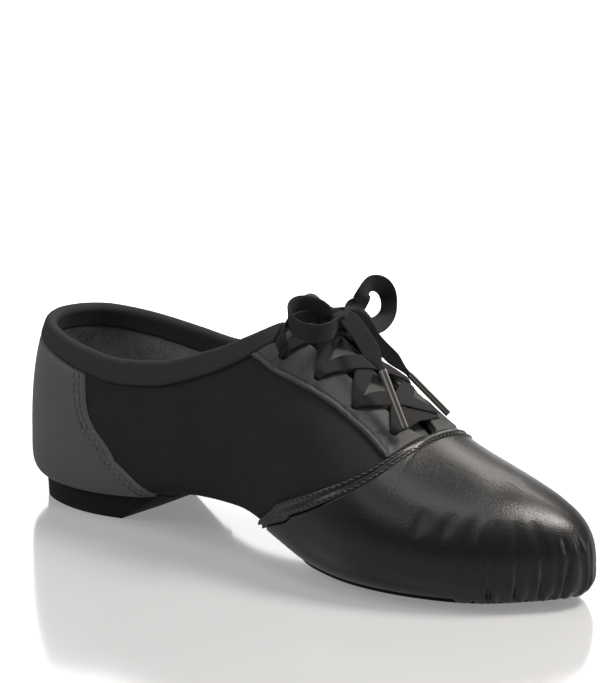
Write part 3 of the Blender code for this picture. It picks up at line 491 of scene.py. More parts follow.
def binding_depth(t):
    """How far the binding reaches down from the rim outside: less around the heel."""
    return BINDING_WIDTH - BINDING_SAVED_AT_HEEL * (1 - smoothstep(2.0, 5.5, t))


def smoothstep(low, high, x):
    """A smooth rise from 0 at one value to 1 at another."""
    x = np.clip((x - low) / (high - low), 0, 1)
    return x * x * (3 - 2 * x)


def bump(x, width):
    """A soft hump of height one about zero."""
    return np.exp(-(x / width) ** 2)


@dataclass
class Patch:
    """A grid laid on the last: its distinct points, their normals and its triangles."""

    points: np.ndarray
    normals: np.ndarray
    faces: np.ndarray
    corners: np.ndarray
    uv: np.ndarray
    t: np.ndarray
    side: np.ndarray
    v: np.ndarray
    share: np.ndarray


def join_corners(points):
    """Number the distinct points of a grid, which may fold onto itself."""
    keys = np.round((points.reshape(-1, 3) + 1.2345e-4) / 2e-6).astype(np.int64)
    _, first, index = np.unique(keys, axis=0, return_index=True, return_inverse=True)
    return first, index.reshape(points.shape[:-1])


def grid_cells(rows, columns):
    """Two triangles for each cell of a grid, as numbers of its points."""
    index = np.arange(rows * columns).reshape(rows, columns)
    a, b = index[:-1, :-1].ravel(), index[1:, :-1].ravel()
    c, d = index[1:, 1:].ravel(), index[:-1, 1:].ravel()
    return np.concatenate([np.stack([a, b, c], 1), np.stack([a, c, d], 1)])


def vertex_normals(points, faces):
    """Normals at the points of a set of triangles, weighted by area."""
    a, b, c = (points[faces[:, k]] for k in range(3))
    normals = np.zeros_like(points)
    face_normals = np.cross(b - a, c - a)
    for k in range(3):
        np.add.at(normals, faces[:, k], face_normals)
    return unit(normals)


def patch_of(t, side, v, share):
    """A patch from grids of rib number, side and v; its uv are lengths along and across the ribs."""
    t, side, v, share = np.broadcast_arrays(t, side, v, share)
    grid = rib_point(t, side, v)
    first, index = join_corners(grid)
    corners = grid_cells(*v.shape)
    faces = index.ravel()[corners]
    distinct = (faces[:, 0] != faces[:, 1]) & (faces[:, 1] != faces[:, 2]) & (faces[:, 2] != faces[:, 0])
    corners, faces = corners[distinct], faces[distinct]
    points = grid.reshape(-1, 3)[first]
    normals = vertex_normals(points, faces)
    flat_t, flat_side, flat_v, flat_share = (g.ravel()[first] for g in (t, side, v, share))
    centre_x, centre_y, _, _ = rib_line(flat_t, flat_side)
    centre = np.stack([centre_x, centre_y, COLLAR_HEIGHT * along_ribs("widest", flat_t)], -1)
    if np.einsum("ij,ij->", normals, points - centre) < 0:
        normals, faces, corners = -normals, faces[:, ::-1], corners[:, ::-1]
    along = np.linalg.norm(np.diff(grid, axis=0), axis=-1)
    across = np.linalg.norm(np.diff(grid, axis=1), axis=-1)
    middle = grid.shape[1] // 2
    along = np.concatenate([[0], np.cumsum(along[:, middle])])
    across = np.concatenate([np.zeros((len(grid), 1)), np.cumsum(across, 1)], 1)
    uv = np.stack([np.broadcast_to(along[:, None], v.shape), across], -1).reshape(-1, 2)
    return Patch(points, normals, faces, corners, uv, flat_t, flat_side, flat_v, flat_share)


def even_ribs(first, last, pace):
    """Rib numbers a pace apart along the outline; the pace is a distance, or one for each rib number."""
    fine = np.linspace(first, last, 2000)
    outline = rib_point(fine, -1.0, 0.0)
    paces = pace(fine[1:]) if callable(pace) else pace
    walked = np.concatenate([[0], np.cumsum(np.linalg.norm(np.diff(outline, axis=0), axis=1) / paces)])
    count = int(round(walked[-1])) + 1
    return np.interp(np.linspace(0, walked[-1], count), walked, fine)


def around_heel(numbers):
    """Ribs back along the inner side and on along the outer one, as number and side."""
    side = np.repeat([1.0, -1.0], [len(numbers), len(numbers) - 1])
    return np.concatenate([numbers[::-1], numbers[1:]]), side


def even_rows(t, side, low, high, count):
    """Rows of v spaced evenly by length between two edges on every rib."""
    way = np.linspace(-1, 1, 401)
    dense = np.sign(way) * (1 - np.cos(np.pi * way)) / 2
    fine = np.clip(dense, np.broadcast_to(low, t.shape), np.broadcast_to(high, t.shape))
    steps = np.linalg.norm(np.diff(rib_point(t, side, fine), axis=1), axis=-1)
    walked = np.concatenate([np.zeros((len(t), 1)), np.cumsum(steps, 1)], 1)
    wanted = walked[:, -1:] * np.linspace(0, 1, count)
    return np.array([np.interp(w, have, row) for w, have, row in zip(wanted, walked, fine)])


def rib_patch(numbers, low, high, count):
    """A patch over ribs of both sides between two edges, each a v, a table of ribs and v, or rim_v."""
    t = np.concatenate([numbers, numbers[::-1]])[:, None]
    side = np.repeat([-1.0, 1.0], len(numbers))[:, None]
    edges = []
    for edge in (low, high):
        if callable(edge):
            edges.append(edge(t, side))
        else:
            edges.append(monotone_curve(edge, t) if isinstance(edge, tuple) else np.full(t.shape, edge))
    return patch_of(t, side, even_rows(t, side, *edges, count), np.linspace(0, 1, count))


def open_edges(faces):
    """Edges that only one triangle has, in its own order."""
    edges = np.concatenate([faces[:, [0, 1]], faces[:, [1, 2]], faces[:, [2, 0]]])
    size = faces.max() + 1
    forward = edges[:, 0] * size + edges[:, 1]
    backward = edges[:, 1] * size + edges[:, 0]
    return edges[~np.isin(forward, backward)]


def distance_to(points, line):
    """Distance of each point from the nearest point of a line."""
    near = [np.linalg.norm(part[:, None] - line[None], axis=-1).min(1)
            for part in np.array_split(points, max(1, len(points) * len(line) // 2_000_000))]
    return np.concatenate(near)


def rim_distance(patch):
    """Distance of each point of a patch from the patch's nearest edge."""
    return distance_to(patch.points, patch.points[np.unique(open_edges(patch.faces))])


def rolled(distance, radius):
    """Share of a piece's thickness near its edge: a quarter circle of the radius."""
    past = np.clip(distance / radius, 0, 1)
    return np.sqrt(np.clip(1 - (1 - past) ** 2, 0, 1))


def drawn_on(route, count=60):
    """Points of the last along a route of rib number, side and v."""
    steps = np.linspace(0, len(route) - 1, count)
    t, side, v = (np.interp(steps, np.arange(len(route)), column(route, k)) for k in range(3))
    return rib_point(t, side, v)


def fold(points, route, width, depth, lip=0.0, open_end=False):
    """A soft trough along a route with a share of its depth as lips beside it; a negative depth is a ridge.

    It is deepest in its middle, or at its first point if that end is open.
    """
    line = drawn_on(route)
    share = np.linspace(0, 1, len(line))
    result = np.zeros(len(points))
    close = np.abs(points - line.mean(0)).max(1) < np.ptp(line, axis=0).max() + 6 * width
    gap = np.linalg.norm(points[close][:, None] - line[None], axis=-1)
    nearest = share[gap.argmin(1)]
    taper = (1 - nearest) ** 0.7 if open_end else np.sin(np.pi * np.clip(nearest, 0.02, 0.98)) ** 0.7
    gap = gap.min(1)
    result[close] = depth * taper * (lip * bump(gap, 3 * width) - (1 + lip) * bump(gap, width))
    return result


def add_mesh(name, points, faces, looks, uv=None, look_of_face=None, distance=None):
    """An object from points and polygons in the last's frame, moved so that the heel's centre is x = 0."""
    mesh = bpy.data.meshes.new(name)
    mesh.from_pydata((points - (HEEL_CENTRE, 0, 0)).tolist(), [], [tuple(f) for f in faces])
    for look in looks:
        mesh.materials.append(look)
    if look_of_face is not None:
        mesh.polygons.foreach_set("material_index", np.asarray(look_of_face, np.int32))
    if uv is not None:
        layer = mesh.uv_layers.new(name="Surface")
        layer.data.foreach_set("uv", np.asarray(uv, np.float32).ravel())
    if distance is not None:
        edge = mesh.attributes.new("edge", "FLOAT", "POINT")
        edge.data.foreach_set("value", np.asarray(distance, np.float32))
    mesh.shade_smooth()
    item = bpy.data.objects.new(name, mesh)
    bpy.context.collection.objects.link(item)
    return item


def face_outwards(item):
    """Turn a closed piece's faces outwards if its volume comes out negative."""
    mesh = item.data
    mesh.calc_loop_triangles()
    points = np.empty(len(mesh.vertices) * 3, np.float32)
    mesh.vertices.foreach_get("co", points)
    faces = np.empty(len(mesh.loop_triangles) * 3, np.int32)
    mesh.loop_triangles.foreach_get("vertices", faces)
    a, b, c = (points.reshape(-1, 3)[faces.reshape(-1, 3)[:, k]] for k in range(3))
    if np.einsum("ij,ij->", a, np.cross(b, c)) < 0:
        mesh.flip_normals()


def add_tube(name, rings, along, around, finish):
    """A closed tube through rings of points, whose uv are lengths along it and around it."""
    count, sides = rings.shape[:2]
    index = np.arange(count * sides).reshape(count, sides)
    index = np.concatenate([index, index[:, :1]], 1)
    grid = np.stack(np.broadcast_arrays(along[:, None], around[None]), -1)
    quads, uv = (np.stack([g[:-1, :-1], g[:-1, 1:], g[1:, 1:], g[1:, :-1]], 2) for g in (index, grid))
    caps = [tuple(index[0, :-1][::-1].tolist()), tuple(index[-1, :-1].tolist())]
    faces = [tuple(q) for q in quads.reshape(-1, 4).tolist()] + caps
    uv = np.concatenate([uv.reshape(-1, 2), np.zeros((2 * sides, 2))])
    item = add_mesh(name, rings.reshape(-1, 3), faces, [look(finish)], uv)
    face_outwards(item)
    return item


def closed_sheet(faces, count):
    """The faces of a sheet of count points, of its twin count numbers on, and of the walls between them."""
    rim = open_edges(faces)
    walls = np.concatenate([
        np.stack([rim[:, 0], rim[:, 1], rim[:, 1] + count], 1),
        np.stack([rim[:, 0], rim[:, 1] + count, rim[:, 0] + count], 1),
    ])
    return np.concatenate([faces + count, faces[:, ::-1], walls]), walls


def add_shell(name, patch, inner, outer, looks, distance=None):
    """A closed piece between two heights over a patch, the first look outside, the last one inside."""
    count = len(patch.points)
    inside = patch.points + patch.normals * np.broadcast_to(inner, count)[:, None]
    outside = patch.points + patch.normals * np.broadcast_to(outer, count)[:, None]
    faces, walls = closed_sheet(patch.faces, count)
    first_corner = np.zeros(count, int)
    first_corner[patch.faces.ravel()] = patch.corners.ravel()
    corners = np.concatenate([patch.corners, patch.corners[:, ::-1], first_corner[walls % count]])
    cells = len(patch.faces)
    look_of_face = np.zeros(len(faces), int)
    look_of_face[cells:2 * cells] = len(looks) - 1
    if distance is not None:
        distance = np.concatenate([distance, distance])
    points = np.concatenate([inside, outside])
    return add_mesh(name, points, faces, looks, patch.uv[corners.ravel()], look_of_face, distance)


class Value:
    """A number that varies over a surface; arithmetic on it adds Math nodes."""

    def __init__(self, nodes, socket):
        self.nodes = nodes
        self.socket = socket

    def math(self, operation, *others):
        inputs = dict(enumerate((self, *others)))
        return self.nodes.add("ShaderNodeMath", {"operation": operation}, inputs, 0)

    def __add__(self, other):
        return self.math("ADD", other)

    __radd__ = __add__

    def __sub__(self, other):
        return self.math("SUBTRACT", other)

    def __mul__(self, other):
        return self.math("MULTIPLY", other)

    __rmul__ = __mul__

    def __pow__(self, other):
        return self.math("POWER", other)


class Nodes:
    """The nodes of one material, each of them added by one method."""

    def __init__(self, name):
        self.material = bpy.data.materials.new("look_" + name)
        self.material.use_nodes = True
        self.tree = self.material.node_tree
        self.tree.nodes.clear()

    def add(self, kind, settings, inputs, output):
        """Add a node of a type, set it, then fill its inputs with values or links; give one output."""
        node = self.tree.nodes.new(kind)
        for key, value in settings.items():
            if key == "stops":
                ramp = node.color_ramp
                while len(ramp.elements) < len(value):
                    ramp.elements.new(0.5)
                for element, (position, shade) in zip(ramp.elements, value):
                    element.position = position
                    element.color = (shade, shade, shade, 1.0)
            else:
                setattr(node, key, value)
        for key, value in inputs.items():
            if isinstance(value, Value):
                self.tree.links.new(value.socket, node.inputs[key])
            else:
                node.inputs[key].default_value = value
        return Value(self, node.outputs[output])

    def place(self):
        """Object coordinates, in metres."""
        return self.add("ShaderNodeTexCoord", {}, {}, "Object")

    def surface(self):
        """The piece's own coordinates along and across its surface, in metres."""
        return self.add("ShaderNodeUVMap", {"uv_map": "Surface"}, {}, "UV")

    def part(self, vector, axis):
        """One part of a vector: X, Y or Z."""
        return self.add("ShaderNodeSeparateXYZ", {}, {"Vector": vector}, axis)

    def stretched(self, vector, scale):
        """A vector with each of its parts scaled."""
        return self.add("ShaderNodeVectorMath", {"operation": "MULTIPLY"}, {0: vector, 1: scale}, 0)

    def noise(self, vector, size, detail=2.0, roughness=0.5):
        """Smooth noise from 0 to 1 whose features are about one size."""
        inputs = {"Vector": vector, "Scale": 1 / size, "Detail": detail, "Roughness": roughness}
        return self.add("ShaderNodeTexNoise", {}, inputs, "Fac")

    def cells(self, vector, size):
        """Distance from the middles of a pattern of cells of one size."""
        return self.add("ShaderNodeTexVoronoi", {}, {"Vector": vector, "Scale": 1 / size}, "Distance")

    def edge(self):
        """Distance from the piece's edge, in metres."""
        return self.add("ShaderNodeAttribute", {"attribute_name": "edge"}, {}, "Fac")

    def wave(self, value, pitch):
        """A sine along a length, from 0 to 1."""
        return (value * (2 * np.pi / pitch)).math("SINE") * 0.5 + 0.5

    def ramp(self, value, stops):
        """A value led through stops of position and level."""
        return self.add("ShaderNodeValToRGB", {"stops": stops}, {"Fac": value}, "Color")

    def mixed(self, share, first, second):
        """One colour turning into another by a share."""
        inputs = {0: share, 6: opaque(first), 7: opaque(second)}
        return self.add("ShaderNodeMix", {"data_type": "RGBA"}, inputs, 2)

    def waves(self, along_pitch, across_pitch):
        """Sines along and across the piece's surface."""
        surface = self.surface()
        along, across = self.part(surface, "X"), self.part(surface, "Y")
        return self.wave(along, along_pitch), self.wave(across, across_pitch)

    def finish(self, colour, roughness, specular, height, depth, others=None):
        """A surface; its height between 0 and 1 stands for a depth in metres. Give the material."""
        normal = self.add("ShaderNodeBump", {}, {"Height": height, "Distance": depth}, "Normal")
        return self.shaded({"Base Color": colour, "Roughness": roughness, "Specular IOR Level": specular,
                            "Normal": normal, **(others or {})})

    def shaded(self, inputs):
        """A surface from the inputs of its shader; give the material."""
        shader = self.add("ShaderNodeBsdfPrincipled", {}, inputs, "BSDF")
        output = self.tree.nodes.new("ShaderNodeOutputMaterial")
        self.tree.links.new(shader.socket, output.inputs["Surface"])
        return self.material


def opaque(colour):
    """A colour with its alpha, or a socket as it is."""
    return colour if isinstance(colour, Value) else (*colour, 1.0)


def shade(colour, share):
    """A colour made lighter or darker by a share."""
    return tuple(min(1.0, part * share) for part in colour)


def stretch_fabric(colour):
    """Fine knit: loops in ribs along the surface, and a soft mottle."""
    nodes = Nodes("stretch_fabric")
    ribs, loops = nodes.waves(0.75 * MM, 0.55 * MM)
    fuzz = nodes.noise(nodes.place(), 0.5 * MM, 3.0)
    mottle = nodes.noise(nodes.place(), 14 * MM)
    height = ribs * 0.45 + loops * 0.25 + fuzz * 0.3
    base = nodes.mixed(mottle, shade(colour, 0.8), shade(colour, 1.25))
    return nodes.finish(nodes.mixed(height, shade(colour, 0.6), base), 0.86 + fuzz * 0.1, 0.05,
                        height, 0.10 * MM)


def leather(name, colour, roughness, grain, crease, specular):
    """Leather: pebbles with fine lines between them, faint long creases and a paler rim."""
    nodes = Nodes(name)
    place = nodes.place()
    warp = nodes.noise(place, 3 * MM)
    pebbles = nodes.cells(place, grain)
    fine = nodes.noise(place, grain * 0.45, 3.0)
    creases = nodes.noise(nodes.stretched(place, (0.35, 1.0, 1.0)), crease, 4.0, 0.62)
    height = pebbles * 0.45 + fine * 0.25 + creases * 0.9
    # Paler within 1.2 mm of each piece's edge, fading inwards.
    rim_paling = nodes.ramp(nodes.edge(), ((0.0, 1.0), (1.2 * MM, 0.0)))
    mottle = nodes.noise(place, 18 * MM, 3.0)
    base = nodes.mixed(mottle, shade(colour, 0.82), shade(colour, 1.18))
    lit = nodes.mixed(pebbles, shade(colour, 1.1), base)
    rim_paled = nodes.mixed(rim_paling * 0.35, lit, shade(colour, 1.7))
    return nodes.finish(rim_paled, roughness + fine * 0.08 + warp * 0.06, specular, height, 0.09 * MM)


def knit_binding(colour):
    """Elastic binding: narrow ribs across its width, split by finer rows."""
    nodes = Nodes("knit_binding")
    ribs, rows = nodes.waves(0.9 * MM, 0.6 * MM)
    height = ribs * 0.5 + rows * 0.2 + nodes.noise(nodes.place(), 0.4 * MM, 3.0) * 0.4
    return nodes.finish(nodes.mixed(height, shade(colour, 0.6), shade(colour, 1.35)), 0.9, 0.07,
                        height, 0.14 * MM)


def lining_cloth(colour):
    """Brushed lining: short pale fuzz in soft blotches."""
    nodes = Nodes("lining")
    place = nodes.place()
    fuzz = nodes.noise(place, 0.8 * MM, 4.0, 0.7)
    blotches = nodes.noise(place, 7 * MM, 4.0, 0.6)
    height = fuzz * 0.7 + blotches * 0.3
    share = nodes.ramp(height, ((0.3, 0.0), (0.75, 1.0)))
    return nodes.finish(nodes.mixed(share, shade(colour, 0.45), shade(colour, 1.9)), 0.95, 0.1,
                        height, 0.35 * MM)


def rubber(name, colour):
    """Moulded rubber: a fine speckle, scuffed towards the floor."""
    nodes = Nodes(name)
    place = nodes.place()
    speckle = nodes.noise(place, 0.35 * MM, 3.0)
    scuffs = nodes.noise(nodes.stretched(place, (1.0, 1.0, 3.0)), 5 * MM, 4.0, 0.6)
    low = nodes.ramp(nodes.part(place, "Z"), ((0.0, 1.0), (4 * MM, 0.0)))
    scuffed = nodes.mixed(low * scuffs * 0.5, colour, shade(colour, 3.0))
    return nodes.finish(scuffed, 0.6 + speckle * 0.2, 0.12, speckle * 0.6 + scuffs * 0.4, 0.06 * MM)


def lace_tape(colour):
    """Woven tape: slanted yarns that cross."""
    nodes = Nodes("lace_tape")
    surface = nodes.surface()
    along, across = nodes.part(surface, "X"), nodes.part(surface, "Y")
    first = nodes.wave(along + across, 0.9 * MM)
    second = nodes.wave(along - across, 0.9 * MM)
    height = first * 0.3 + second * 0.3 + nodes.noise(nodes.place(), 0.35 * MM, 3.0) * 0.4
    return nodes.finish(nodes.mixed(height, shade(colour, 0.55), shade(colour, 1.4)), 0.84, 0.04,
                        height, 0.12 * MM)


def aglet_film(colour):
    """Clear dark film wrapped around the tape's tip, with long pale lines painted on as glints, which also
    give a faint relief.
    """
    nodes = Nodes("aglet_film")
    # Narrow lines around the girth: the colour paints glints on them, and the bump gives them a faint
    # relief.
    lines = nodes.wave(nodes.part(nodes.surface(), "Y"), 3.3 * MM) ** 5.0
    weave = nodes.noise(nodes.place(), 0.5 * MM)
    # Six times paler along the lines: painted glints.
    return nodes.finish(nodes.mixed(lines, colour, shade(colour, 6.0)), 0.28 + weave * 0.12, 0.5,
                        lines * 0.5 + weave * 0.5, 0.05 * MM, {"Coat Weight": 0.6, "Coat Roughness": 0.12})


def thread(name, colour):
    """Stitching thread: fine twisted plies."""
    nodes = Nodes(name)
    plies = nodes.noise(nodes.place(), 0.25 * MM)
    return nodes.finish(nodes.mixed(plies, shade(colour, 0.6), shade(colour, 1.4)), 0.62, 0.5,
                        plies, 0.05 * MM)


def shown(item, slot, *nodes):
    """Let a piece ride with the shoe and stand for its solids, which it hides; the slot is not used."""
    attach(item, "root")
    if nodes:
        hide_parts(*nodes)
    return item


def look(name):
    """A material that the finish operator has made."""
    return bpy.data.materials["look_" + name]


def cut_holes(item, sides):
    """Cut the lace holes of some sides through a piece with one set of round pins."""
    count = 20
    turns = np.linspace(0, 2 * np.pi, count, endpoint=False)
    points, faces = [], []
    for t, v in HOLES:
        for side in sides:
            centre = on_upper(t, side, v, 0.0)
            axis = rib_normal(t, side, v)
            first = unit(np.cross(axis, (0.0, 1.0, 0.0)))
            second = np.cross(axis, first)
            ring = np.outer(np.cos(turns), first) + np.outer(np.sin(turns), second)
            circle = centre + ring * HOLE_DIAMETER / 2
            low = len(points) * 2 * count
            high = low + count
            points.append(np.concatenate([circle - axis * 3 * WALL, circle + axis * 3 * WALL]))
            after = [(k, (k + 1) % count) for k in range(count)]
            faces += [(low + a, low + b, high + b, high + a) for a, b in after]
            faces += [tuple(range(high - 1, low - 1, -1)), tuple(range(high, high + count))]
    pins = add_mesh("hole_pins", np.concatenate(points), faces, item.data.materials)
    modifier = item.modifiers.new("holes", "BOOLEAN")
    modifier.operation = "DIFFERENCE"
    modifier.object = pins
    modifier.solver = "EXACT"
    evaluated = item.evaluated_get(bpy.context.evaluated_depsgraph_get())
    mesh = bpy.data.meshes.new_from_object(evaluated)
    item.modifiers.clear()
    item.data = mesh
    bpy.data.objects.remove(pins, do_unlink=True)


def evened(points, pitch):
    """Places a pitch apart along a line of points, as numbers along it."""
    walked = walked_along(points)
    count = max(2, int(walked[-1] / pitch))
    return np.interp((np.arange(count) + 0.5) / count * walked[-1], walked, np.arange(len(points)))


def sampled(array, numbers):
    """An array read between its rows."""
    low = np.clip(np.floor(numbers).astype(int), 0, len(array) - 2)
    part = (numbers - low)[:, None]
    return array[low] * (1 - part) + array[low + 1] * part


def stitch_row(t, side, v, height, pitch, size, slant):
    """Stitches along a line on the last: small rounded pods, each turned by a slant in the surface's plane.

    A pod is four rings of six points between two tips; size is its length and its width.
    """
    line, normals = on_upper(t, side, v, height), rib_normal(t, side, v)
    numbers = evened(line, pitch)
    places, up = sampled(line, numbers), unit(sampled(normals, numbers))
    ahead = unit(sampled(np.gradient(line, axis=0), numbers))
    beside = unit(np.cross(up, ahead))
    long_way = ahead * np.cos(slant) + beside * np.sin(slant)
    short_way = np.cross(up, long_way)
    rings, around = np.linspace(0, np.pi, 6)[1:-1], np.linspace(0, 2 * np.pi, 6, endpoint=False)
    pod = [(np.cos(a), np.sin(a) * np.cos(b), np.sin(a) * np.sin(b)) for a in rings for b in around]
    pod = np.array([(1.0, 0.0, 0.0), *pod, (-1.0, 0.0, 0.0)]) * (size[0] / 2, size[1] / 2, size[1] / 2)
    axes = np.stack([long_way, short_way, up], 1)
    points = places[:, None] + np.einsum("kj,njc->nkc", pod, axes)
    pairs = [(a, (a + 1) % 6) for a in range(6)]
    faces = [(0, 1 + a, 1 + b) for a, b in pairs]
    for start in (1, 7, 13):
        faces += [(start + a, start + 6 + a, start + 6 + b) for a, b in pairs]
        faces += [(start + a, start + 6 + b, start + b) for a, b in pairs]
    faces += [(25, 19 + b, 19 + a) for a, b in pairs]
    faces = np.array(faces)[:, ::-1] + np.arange(len(places))[:, None, None] * len(pod)
    return points.reshape(-1, 3), faces.reshape(-1, 3)


def add_stitches(name, rows, finish):
    """One piece from several rows of stitches."""
    starts = np.cumsum([0] + [len(points) for points, _ in rows])
    points = np.concatenate([points for points, _ in rows])
    faces = np.concatenate([faces + start for (_, faces), start in zip(rows, starts)])
    return add_mesh(name, points, faces, [look(finish)])


def band_line(share, side, count=400):
    """A line along the band at a share from its edge over the toe to its seam, as rib numbers and v."""
    places = []
    for table in (SEAM_BAND_EDGE, VAMP_SEAM):
        t = np.linspace(table[0][0], table[-1][0], 600)
        v = monotone_curve(table, t)
        walked = walked_along(rib_point(t, side, v))
        wanted = np.linspace(0, walked[-1], count)
        places.append((np.interp(wanted, walked, t), np.interp(wanted, walked, v)))
    (low_t, low_v), (high_t, high_v) = places
    return low_t + (high_t - low_t) * share, low_v + (high_v - low_v) * share


def length_setting(name, description, default, low, high):
    """A setting for a length, given in millimetres."""
    return FloatProperty(name=name, description=description, default=default * MM, min=low * MM,
                         max=high * MM, unit="LENGTH", subtype="DISTANCE")


def colour_setting(name, description, default):
    """A setting for a colour."""
    return FloatVectorProperty(name=name, description=description, default=default, min=0.0, max=1.0,
                               size=3, subtype="COLOR")


class ShoeSettings(PropertyGroup):
    """Sizes and colours that a user would change."""

    lace_width: length_setting("Lace width", "Width of the flat lace", 7.4, 2, 10)
    lace_thickness: length_setting("Lace thickness", "Thickness of the flat lace", 1.0, 0.3, 2)
    stitch_pitch: length_setting("Stitch pitch", "Distance from one stitch to the next", 2.4, 1, 6)
    crease_depth: length_setting("Crease depth", "Depth of the deepest creases in the leather", 0.8, 0, 3)
    fabric_colour: colour_setting("Fabric", "Colour of the stretch fabric", (0.0280, 0.0280, 0.0283))
    counter_colour: colour_setting("Counter leather", "Colour of the heel's leather",
                                   (0.066, 0.066, 0.0665))
    vamp_colour: colour_setting("Vamp leather", "Colour of the toe's leather", (0.0080, 0.0077, 0.0075))
    stay_colour: colour_setting("Stay leather", "Colour of the lace stays and the tongue",
                                (0.041, 0.0407, 0.0402))
    lace_colour: colour_setting("Lace", "Colour of the lace", (0.0270, 0.0270, 0.0274))
    floor_tone: FloatProperty(
        name="Floor tone", description="How pale the floor is", default=0.36, min=0.0, max=1.0)


# The leathers: name, roughness, size of their pebbles and creases, and specular level
LEATHERS = (
    ("counter", 0.52, 0.8 * MM, 6 * MM, 0.25),
    ("vamp", 0.26, 0.7 * MM, 5 * MM, 0.3),
    ("stay", 0.50, 0.9 * MM, 3 * MM, 0.18),
)
HEEL_COLOUR = (0.007, 0.007, 0.0071)
SOLE_COLOUR = (0.008, 0.008, 0.008)
AGLET_COLOUR = (0.035, 0.032, 0.029)


class SHOE_OT_finishes(Operator):
    """Make the shoe's materials"""

    bl_idname = "shoe.finishes"
    bl_label = "Finishes"

    def execute(self, context):
        settings = context.scene.jazz_shoe
        stretch_fabric(settings.fabric_colour)
        for name, *finish in LEATHERS:
            leather(name + "_leather", getattr(settings, name + "_colour"), *finish)
        knit_binding(shade(settings.fabric_colour, 1.15))
        lining_cloth(shade(settings.fabric_colour, 5.2))
        rubber("heel_rubber", HEEL_COLOUR)
        rubber("sole_rubber", SOLE_COLOUR)
        lace_tape(settings.lace_colour)
        aglet_film(AGLET_COLOUR)
        thread("counter_thread", shade(settings.counter_colour, 1.25))
        thread("vamp_thread", shade(settings.stay_colour, 0.9))
        return {"FINISHED"}


class SHOE_OT_upper(Operator):
    """Add the stretch upper with its lining, and the insole"""

    bl_idname = "shoe.upper"
    bl_label = "Upper"

    def execute(self, context):
        numbers = even_ribs(0, LAST_RIB, UPPER_PACE)
        patch = rib_patch(numbers, WINDOWS, rim_v, 90)
        looks = [look("stretch_fabric"), look("lining")]
        item = add_shell("stretch_upper", patch, -WALL, self.folds(patch), looks)
        cut_holes(item, (-1.0, 1.0))
        shown(item, "stretch_fabric", "upper_body")
        insole = rib_patch(numbers, -1.0, INSOLE_EDGE, 40)
        depth = WALL + INSOLE_GAP
        item = add_shell("footbed", insole, -depth - INSOLE_THICKNESS, -depth, [look("lining")])
        shown(item, "lining", "insole")
        return {"FINISHED"}

    def folds(self, patch):
        """The fabric's gentle pulls: from the stay's tip to the arch, and along the waist."""
        return sum(fold(patch.points, [(t, side, v) for t, v in route], width, FABRIC_PULL_DEPTH)
                   for side in (-1, 1) for route, width in FABRIC_PULLS)


class SHOE_OT_counter(Operator):
    """Add the leather counter around the heel and its stitching"""

    bl_idname = "shoe.counter"
    bl_label = "Counter"

    def execute(self, context):
        pitch = context.scene.jazz_shoe.stitch_pitch
        share = np.linspace(-1, 1, 221)
        rows = 80
        side = np.where(share < 0, 1.0, -1.0)[:, None]
        v = np.broadcast_to(np.linspace(COUNTER_LOWER_EDGE, 0.4, rows), (len(share), rows))
        for _ in range(4):
            t = np.abs(share)[:, None] * monotone_curve(COUNTER_FRONT, v)
            top = v_below(t, side, rim_v(t, side), binding_depth(t) + 2 * GAP)
            way = np.linspace(0, 1, rows)
            v = COUNTER_LOWER_EDGE + (top - COUNTER_LOWER_EDGE) * way
        patch = patch_of(t, side, v, way)
        distance = rim_distance(patch)
        seam = patch.t * 6.0
        relief = -0.5 * MM * bump(seam, 0.16) + 0.3 * MM * bump(seam - 0.45, 0.2)
        front = self.front_distance(patch)
        pucker = 0.5 + 0.5 * np.sin(2 * np.pi * patch.v * COUNTER_PUCKERS)
        for inset in (2.2 * MM, 4.3 * MM):
            relief = relief - (0.30 + 0.25 * pucker) * MM * bump(front - inset, 0.55 * MM)
        outer = PATCH_GAP + LEATHER * rolled(distance, 1.0 * MM) + relief * rolled(distance, 1.4 * MM)
        item = add_shell("counter", patch, PATCH_GAP, outer, [look("counter_leather")], distance)
        shown(item, "grey_leather", "heel_counter")
        height = PATCH_GAP + LEATHER - STITCH_SINK
        stitches = []
        for side in (-1.0, 1.0):
            v = np.linspace(COUNTER_LOWER_EDGE + 0.02, 0.25, 300)
            for inset in (0.15, 0.30):
                t = monotone_curve(COUNTER_FRONT, v) - inset
                stitches.append(stitch_row(t, side, v, height, 1.15 * pitch, (2.1 * MM, 0.8 * MM), 0.25))
            v = np.linspace(-0.3, 0.28, 200)
            t = np.full_like(v, 0.13)
            stitches.append(stitch_row(t, side, v, height + 0.2 * MM, pitch, (1.7 * MM, 0.5 * MM), 0.0))
        shown(add_stitches("counter_stitches", stitches, "counter_thread"), "grey_leather")
        return {"FINISHED"}

    def front_distance(self, patch):
        """Distance of each point from the counter's front edge on its own side."""
        v = np.linspace(COUNTER_LOWER_EDGE, 0.35, 200)
        lines = [rib_point(monotone_curve(COUNTER_FRONT, v), side, v) for side in (-1.0, 1.0)]
        return np.minimum(*(distance_to(patch.points, line) for line in lines))


